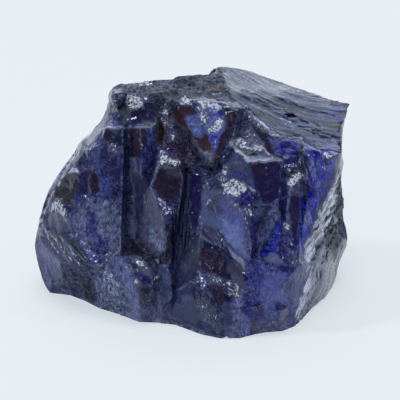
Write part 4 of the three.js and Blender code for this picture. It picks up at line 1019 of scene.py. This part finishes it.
# Noises: how often each repeats in a mm, its octaves and its roughness.
BILLOW = (0.7, 6.0, 0.66)
THREAD_DETAIL = (4.0, 0.6)
DULLNESS = (0.5,)
HUE = (0.45, 3.0)
MOTTLE = (1.0, 6.0, 0.75)
CHIP_DRIFT = (0.9, 3.0, 0.6)
HACKLE = (1.0, 2.0, 0.5)
GRIT = (1.5, 5.0, 0.68)
STRIA = (1.0, 5.0, 0.65)
ABRASION = (1.8, 3.0)
WAVES = (0.8, 4.0, 0.5)
# The turn of each kind of long grain, and how often it repeats in a mm along three directions.
MOTTLE_GRAIN = ((0.2, 0.5, 0), (2.6, 2.6, 0.8))
HACKLE_GRAINS = (((0.3, 0.7, 0.2), (2.3, 2.3, 0.75)), ((0.3, -0.5, 0.2), (2.3, 2.3, 0.75)))
BIG_SPLINTERS = ((0.3, 0.6, 0.2), (1.9, 1.9, 0.8))
SMALL_SPLINTERS = ((0.2, -0.5, 0.4), (4.0, 4.0, 1.6))
CRUST_GRAINS = ((0, 0, 0), (2.4, 2.4, 2.4))
# How the stone's grain is bent, in mm, by how slow a noise.
BEND = (1.4, 1.4, 1.4)
BEND_SCALE = 0.5
GLINT_SPECK_SCALE = 0.75

# From and to: what a noise or a share is read between, and for some what it then becomes.
BILLOW_RANGE = (0.34, 0.66, 0.5, 1.6)
HUE_RANGE = (0.4, 0.6)
MOTTLE_RANGE = (0.38, 0.62, 0.32, 1.75)
THREAD_RANGE = (0.44, 0.58)
LACE_RANGE = (0.03, 0.0)
BAR_RANGE = (0.2, 1.0, 0.7, 0.49)
BLOTCH_RANGE = (0.0, 0.04)
LACED_RANGE = (0.0, 0.06)
CHIP_RANGE = (0.05, 0.25)
GAP_RANGE = (0.48, 0.42)
GLEAM_RANGE = (0.55, 1.2, 0.08, 1.0)
SPECK_SIZE = (0.16, 0.07)
SPECK_SHARE = (0.88, 0.92)
GRIT_RANGE = (0.38, 0.62, 0.3, 2.1)
GRAIN_RANGE = (0.1, 0.9, 0.6, 1.4)
STRIA_RANGE = (0.42, 0.6, 0.2, 2.1)
ABRASION_RANGE = (0.4, 0.6)
DULL_RANGE = (0.4, 0.65)

# How rough the bare stone is, and how much rougher clouds, crust, lines and dull places are.
ROUGHNESS = 0.06
ROUGHER = (0.1, 0.45, 0.12, 0.07)
# The bump's height in mm, and how much of it each form has.
BUMP = 0.2
WAVE_HEIGHT = 0.6
BIG_HEIGHT, SMALL_HEIGHT, HACKLE_HEIGHT = 2.4, 1.2, 2.0
GRAIN_HEIGHT, CRUST_HEIGHT = 2.0, 2.0
LINE_HEIGHT = 3.5
SAPPHIRE_IOR = 1.77
SPECULAR = 0.32
SPECULAR_TINT = (0.58, 0.67, 1, 1)

material = bpy.data.materials.new("crystal")
material.use_nodes = True
nodes, links = material.node_tree.nodes, material.node_tree.links
shader = nodes["Principled BSDF"]


def add(kind, inputs=(), **settings):
    """Adds a node, sets it, and feeds its inputs: each is a socket's place and a value or a socket."""
    made = nodes.new("ShaderNode" + kind)
    for key, value in settings.items():
        setattr(made, key, value)
    for place, value in inputs:
        if isinstance(value, bpy.types.NodeSocket):
            links.new(value, made.inputs[place])
        else:
            made.inputs[place].default_value = value
    return made


def attribute(name):
    """The node that reads a row stored on the mesh."""
    return add("Attribute", attribute_name=name)


def maths(operation, a, b=0):
    return add("Math", [(0, a), (1, b)], operation=operation).outputs[0]


def times(a, b):
    return maths("MULTIPLY", a, b)


def plus(a, b):
    return maths("ADD", a, b)


def minus(a, b):
    return maths("SUBTRACT", a, b)


def between(value, low, high, start=0.0, end=1.0):
    """The value between low and high, taken to start and end."""
    inputs = [("Value", value), ("From Min", low), ("From Max", high), ("To Min", start), ("To Max", end)]
    return add("MapRange", inputs, interpolation_type="SMOOTHSTEP").outputs["Result"]


def mix(share, a, b, blend="MIX"):
    """Colour a, turned into b by the share."""
    return add("Mix", [(0, share), (6, a), (7, b)], data_type="RGBA", blend_type=blend).outputs[2]


def multiply(colour, by):
    return mix(1.0, colour, by, "MULTIPLY")


def cover(share, below, coat):
    """A coat laid over the colour below it."""
    strongest, colour = coat
    return mix(times(share, strongest), below, colour)


def vector(operation, a, b):
    return add("VectorMath", [(0, a), (1, b)], operation=operation).outputs


where = add("TexCoord").outputs["Object"]
in_mm = add("VectorMath", [(0, where), ("Scale", 1 / MM)], operation="SCALE").outputs[0]


def noise_node(scale, octaves=3.0, rough=0.55, place=in_mm):
    """Noise about a half, repeating so often in a mm."""
    inputs = [("Vector", place), ("Scale", scale), ("Detail", octaves), ("Roughness", rough)]
    return add("TexNoise", inputs).outputs["Fac"]


tone_colour = attribute("tone").outputs["Color"]
detail_node = attribute("detail")
parts = add("SeparateColor", [(0, detail_node.outputs["Color"])]).outputs
clouding, hackle, crusting = parts[0], parts[1], parts[2]
lining = detail_node.outputs["Alpha"]

wobble = add("TexNoise", [("Vector", in_mm), ("Scale", BEND_SCALE), ("Detail", 3.0)]).outputs["Color"]
bent = vector("ADD", in_mm, vector("MULTIPLY", wobble, BEND)[0])[0]


def grained(turn, scale):
    """Places in the bent stone, turned and drawn out."""
    return add("Mapping", [("Vector", bent), ("Rotation", turn), ("Scale", scale)]).outputs[0]


def fold(noise):
    """How far a noise is from its middle; nothing along a thin fold."""
    return maths("ABSOLUTE", minus(noise, 0.5))


def splinters(turn, scale):
    """Splinters: a random value for each, and the height of its slanting top."""
    place = grained(turn, scale)
    cell = add("TexVoronoi", [("Vector", place), ("Scale", 1.0)]).outputs
    off = vector("SUBTRACT", place, cell["Position"])[0]
    slant = vector("SUBTRACT", cell["Color"], (0.5, 0.5, 0.5))[0]
    return add("SeparateColor", [(0, cell["Color"])]).outputs[0], vector("DOT_PRODUCT", off, slant)["Value"]


# clouds of lighter and darker crystal, with thin pale threads
billow = between(noise_node(*BILLOW), *BILLOW_RANGE)
hued = mix(between(noise_node(*HUE), *HUE_RANGE), COOL, WARM)
billowed = mix(clouding, tone_colour, multiply(multiply(tone_colour, hued), billow))
mottle = between(noise_node(*MOTTLE, grained(*MOTTLE_GRAIN)), *MOTTLE_RANGE)
flecked = multiply(billowed, mix(plus(MOTTLED, times(clouding, 1 - MOTTLED)), WHITE, mottle))
for scale, width, coat in THREADS:
    thread = between(fold(noise_node(scale, *THREAD_DETAIL, bent)), width, 0.0)
    thread = times(thread, between(noise_node(scale / 2), *THREAD_RANGE))
    flecked = cover(times(thread, clouding), flecked, coat)

# hackle: splinters of broken crystal, paler than the stone, with painted glints on some and dark gaps between
big, big_top = splinters(*BIG_SPLINTERS)
small, small_top = splinters(*SMALL_SPLINTERS)
drifting = noise_node(*CHIP_DRIFT, bent)
hackles = [noise_node(*HACKLE, grained(*turned)) for turned in HACKLE_GRAINS]
lit = plus(times(maths("MAXIMUM", *hackles), HACKLE_PART), times(plus(big, small), CELL_PART))
lace = between(maths("MINIMUM", *[fold(noise) for noise in hackles]), *LACE_RANGE)
bar = between(hackle, *BAR_RANGE)
blotch = between(minus(lit, bar), *BLOTCH_RANGE)
laced = times(lace, between(minus(plus(drifting, LACE_MORE), bar), *LACED_RANGE))
shine = times(maths("MAXIMUM", blotch, laced), between(hackle, *CHIP_RANGE))
misted = cover(hackle, flecked, MIST)
hackled = cover(times(between(lit, *GAP_RANGE), hackle), misted, GAP)
by_big, by_small, by_drift, by_depth = GLEAM_PARTS
gleam = plus(plus(times(big, by_big), times(small, by_small)), times(drifting, by_drift))
gleam = between(plus(gleam, times(hackle, by_depth)), *GLEAM_RANGE)
tinted = mix(GLEAM_FROM_TONE, GLEAM, multiply(tone_colour, LIGHTER))
hackled = mix(times(shine, GLEAM_SHARE), hackled, mix(gleam, DIM_GLEAM, tinted))

# specks of dust, with painted glints on tiny pits
dust_and_glint_cells = add("TexVoronoi", [("Vector", in_mm), ("Scale", GLINT_SPECK_SCALE), ("Randomness", 1.0)]).outputs
dust_and_glint_share = add("SeparateColor", [(0, dust_and_glint_cells["Color"])]).outputs[0]
glint_speck = times(between(dust_and_glint_cells["Distance"], *SPECK_SIZE), between(dust_and_glint_share, *SPECK_SHARE))
dusted_and_glinting = cover(glint_speck, hackled, DUST_AND_GLINT)

# crust: matt grains
grit = noise_node(*GRIT)
grain_tone, grain_top = splinters(*CRUST_GRAINS)
gritty = multiply(multiply(dusted_and_glinting, between(grit, *GRIT_RANGE)), between(grain_tone, *GRAIN_RANGE))
crusted = mix(crusting, dusted_and_glinting, gritty)

# growth lines
stria = noise_node(*STRIA, attribute("grain").outputs["Vector"])
streaked = mix(lining, crusted, multiply(crusted, between(stria, *STRIA_RANGE)))

# wear and painted light: pale broken arrises that also paint a highlight, seams of painted highlight and of
# dark crack, painted shade in hollows
wear_and_light_node = attribute("wear_and_painted_light")
wear_and_painted_light = add("SeparateColor", [(0, wear_and_light_node.outputs["Color"])]).outputs
worn_edge_highlight = times(wear_and_painted_light[0], between(noise_node(*ABRASION), *ABRASION_RANGE))
painted = streaked
for share, coat in (
    (worn_edge_highlight, WORN_EDGE_HIGHLIGHT),
    (wear_and_painted_light[2], SEAM_HIGHLIGHT),
    (wear_and_light_node.outputs["Alpha"], DARK_SEAM),
    (wear_and_painted_light[1], HOLLOW_SHADE),
):
    painted = cover(share, painted, coat)
links.new(painted, shader.inputs["Base Color"])

# glassy stone, rougher where it is clouded, crusted, striated or dull
dull = between(noise_node(*DULLNESS), *DULL_RANGE)
rough = ROUGHNESS
for share, more in zip((clouding, crusting, lining, dull), ROUGHER):
    rough = plus(rough, times(share, more))
links.new(rough, shader.inputs["Roughness"])
shader.inputs["IOR"].default_value = SAPPHIRE_IOR
shader.inputs["Specular IOR Level"].default_value = SPECULAR
shader.inputs["Specular Tint"].default_value = SPECULAR_TINT

# the grain that is finer than the mesh
facets = plus(times(big_top, BIG_HEIGHT), times(small_top, SMALL_HEIGHT))
height = times(noise_node(*WAVES), WAVE_HEIGHT)
height = plus(height, times(facets, times(hackle, HACKLE_HEIGHT)))
height = plus(height, shine)
height = plus(height, times(plus(grit, times(grain_top, GRAIN_HEIGHT)), times(crusting, CRUST_HEIGHT)))
height = plus(height, times(times(stria, lining), LINE_HEIGHT))
bump = add("Bump", [("Strength", 1.0), ("Distance", BUMP * MM), ("Height", height)])
links.new(bump.outputs["Normal"], shader.inputs["Normal"])
stone_mesh.materials.append(material)

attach(stone, "root")
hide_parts("rough_sapphire")

# ---------------------------------------------------------------- floor and light

FLOOR = 3
PAPER = (0.325, 0.318, 0.3, 1)
PAPER_GLOW = (0.8, 0.875, 0.96, 1)
PAPER_GLOW_POWER = 0.6
floor_mesh = bpy.data.meshes.new("floor")
corners = [(-FLOOR, -FLOOR, 0), (FLOOR, -FLOOR, 0), (FLOOR, FLOOR, 0), (-FLOOR, FLOOR, 0)]
floor_mesh.from_pydata(corners, [], [(0, 1, 2, 3)])
floor = bpy.data.objects.new("floor", floor_mesh)
bpy.context.scene.collection.objects.link(floor)
paper = bpy.data.materials.new("paper")
paper.use_nodes = True
paper_shader = paper.node_tree.nodes["Principled BSDF"]
paper_shader.inputs["Base Color"].default_value = PAPER
paper_shader.inputs["Roughness"].default_value = 1
paper_shader.inputs["Specular IOR Level"].default_value = 0
paper_shader.inputs["Emission Color"].default_value = PAPER_GLOW
paper_shader.inputs["Emission Strength"].default_value = PAPER_GLOW_POWER
floor_mesh.materials.append(paper)

# A light tent: its bright part lies behind and above the stone, and fades between these cosines.
BRIGHT_TOWARD = Vector((0, 0.9, 0.43)).normalized()
BRIGHT_COS = (0.72, 0.91)
TENT = 1.8
DARK_PART = 0.1
TENT_COLOUR = (0.86, 0.93, 1, 1)
world = bpy.data.worlds.new("studio")
bpy.context.scene.world = world
world.use_nodes = True
tree = world.node_tree
background = tree.nodes["Background"]
background.inputs["Color"].default_value = TENT_COLOUR
sky = tree.nodes.new("ShaderNodeTexCoord")
facing = tree.nodes.new("ShaderNodeVectorMath")
facing.operation = "DOT_PRODUCT"
facing.inputs[1].default_value = BRIGHT_TOWARD
tree.links.new(sky.outputs["Generated"], facing.inputs[0])
fade = tree.nodes.new("ShaderNodeMapRange")
fade.interpolation_type = "SMOOTHSTEP"
fade.inputs["From Min"].default_value = BRIGHT_COS[0]
fade.inputs["From Max"].default_value = BRIGHT_COS[1]
fade.inputs["To Min"].default_value = TENT * DARK_PART
fade.inputs["To Max"].default_value = TENT
tree.links.new(facing.outputs["Value"], fade.inputs["Value"])
tree.links.new(fade.outputs["Result"], background.inputs["Strength"])

# Each lamp's place, width, power, and whether the stone mirrors it. The wide ones fill in softly and the
# small ones glitter on the broken crystal.
LAMPS = {
    "lamp_top": ((0.1, 0.1, 1.5), 0.8, 9.0, False),
    "lamp_front": ((-0.2, -1.3, 0.9), 0.6, 4.5, False),
    "lamp_left": ((-1.15, -0.1, 0.9), 0.2, 6.5, True),
    "lamp_right": ((1.15, -0.1, 0.8), 0.15, 2.0, True),
}
LAMP_COLOUR = (0.97, 0.98, 1)
for name, (place, width, power, mirrored) in LAMPS.items():
    lamp = bpy.data.lights.new(name, "AREA")
    lamp.size = width
    lamp.energy = power
    lamp.color = LAMP_COLOUR
    holder = bpy.data.objects.new(name, lamp)
    holder.location = place
    holder.visible_glossy = mirrored
    holder.rotation_euler = Vector(place).to_track_quat("Z", "Y").to_euler()
    bpy.context.scene.collection.objects.link(holder)
bpy.context.scene.view_settings.view_transform = "Standard"
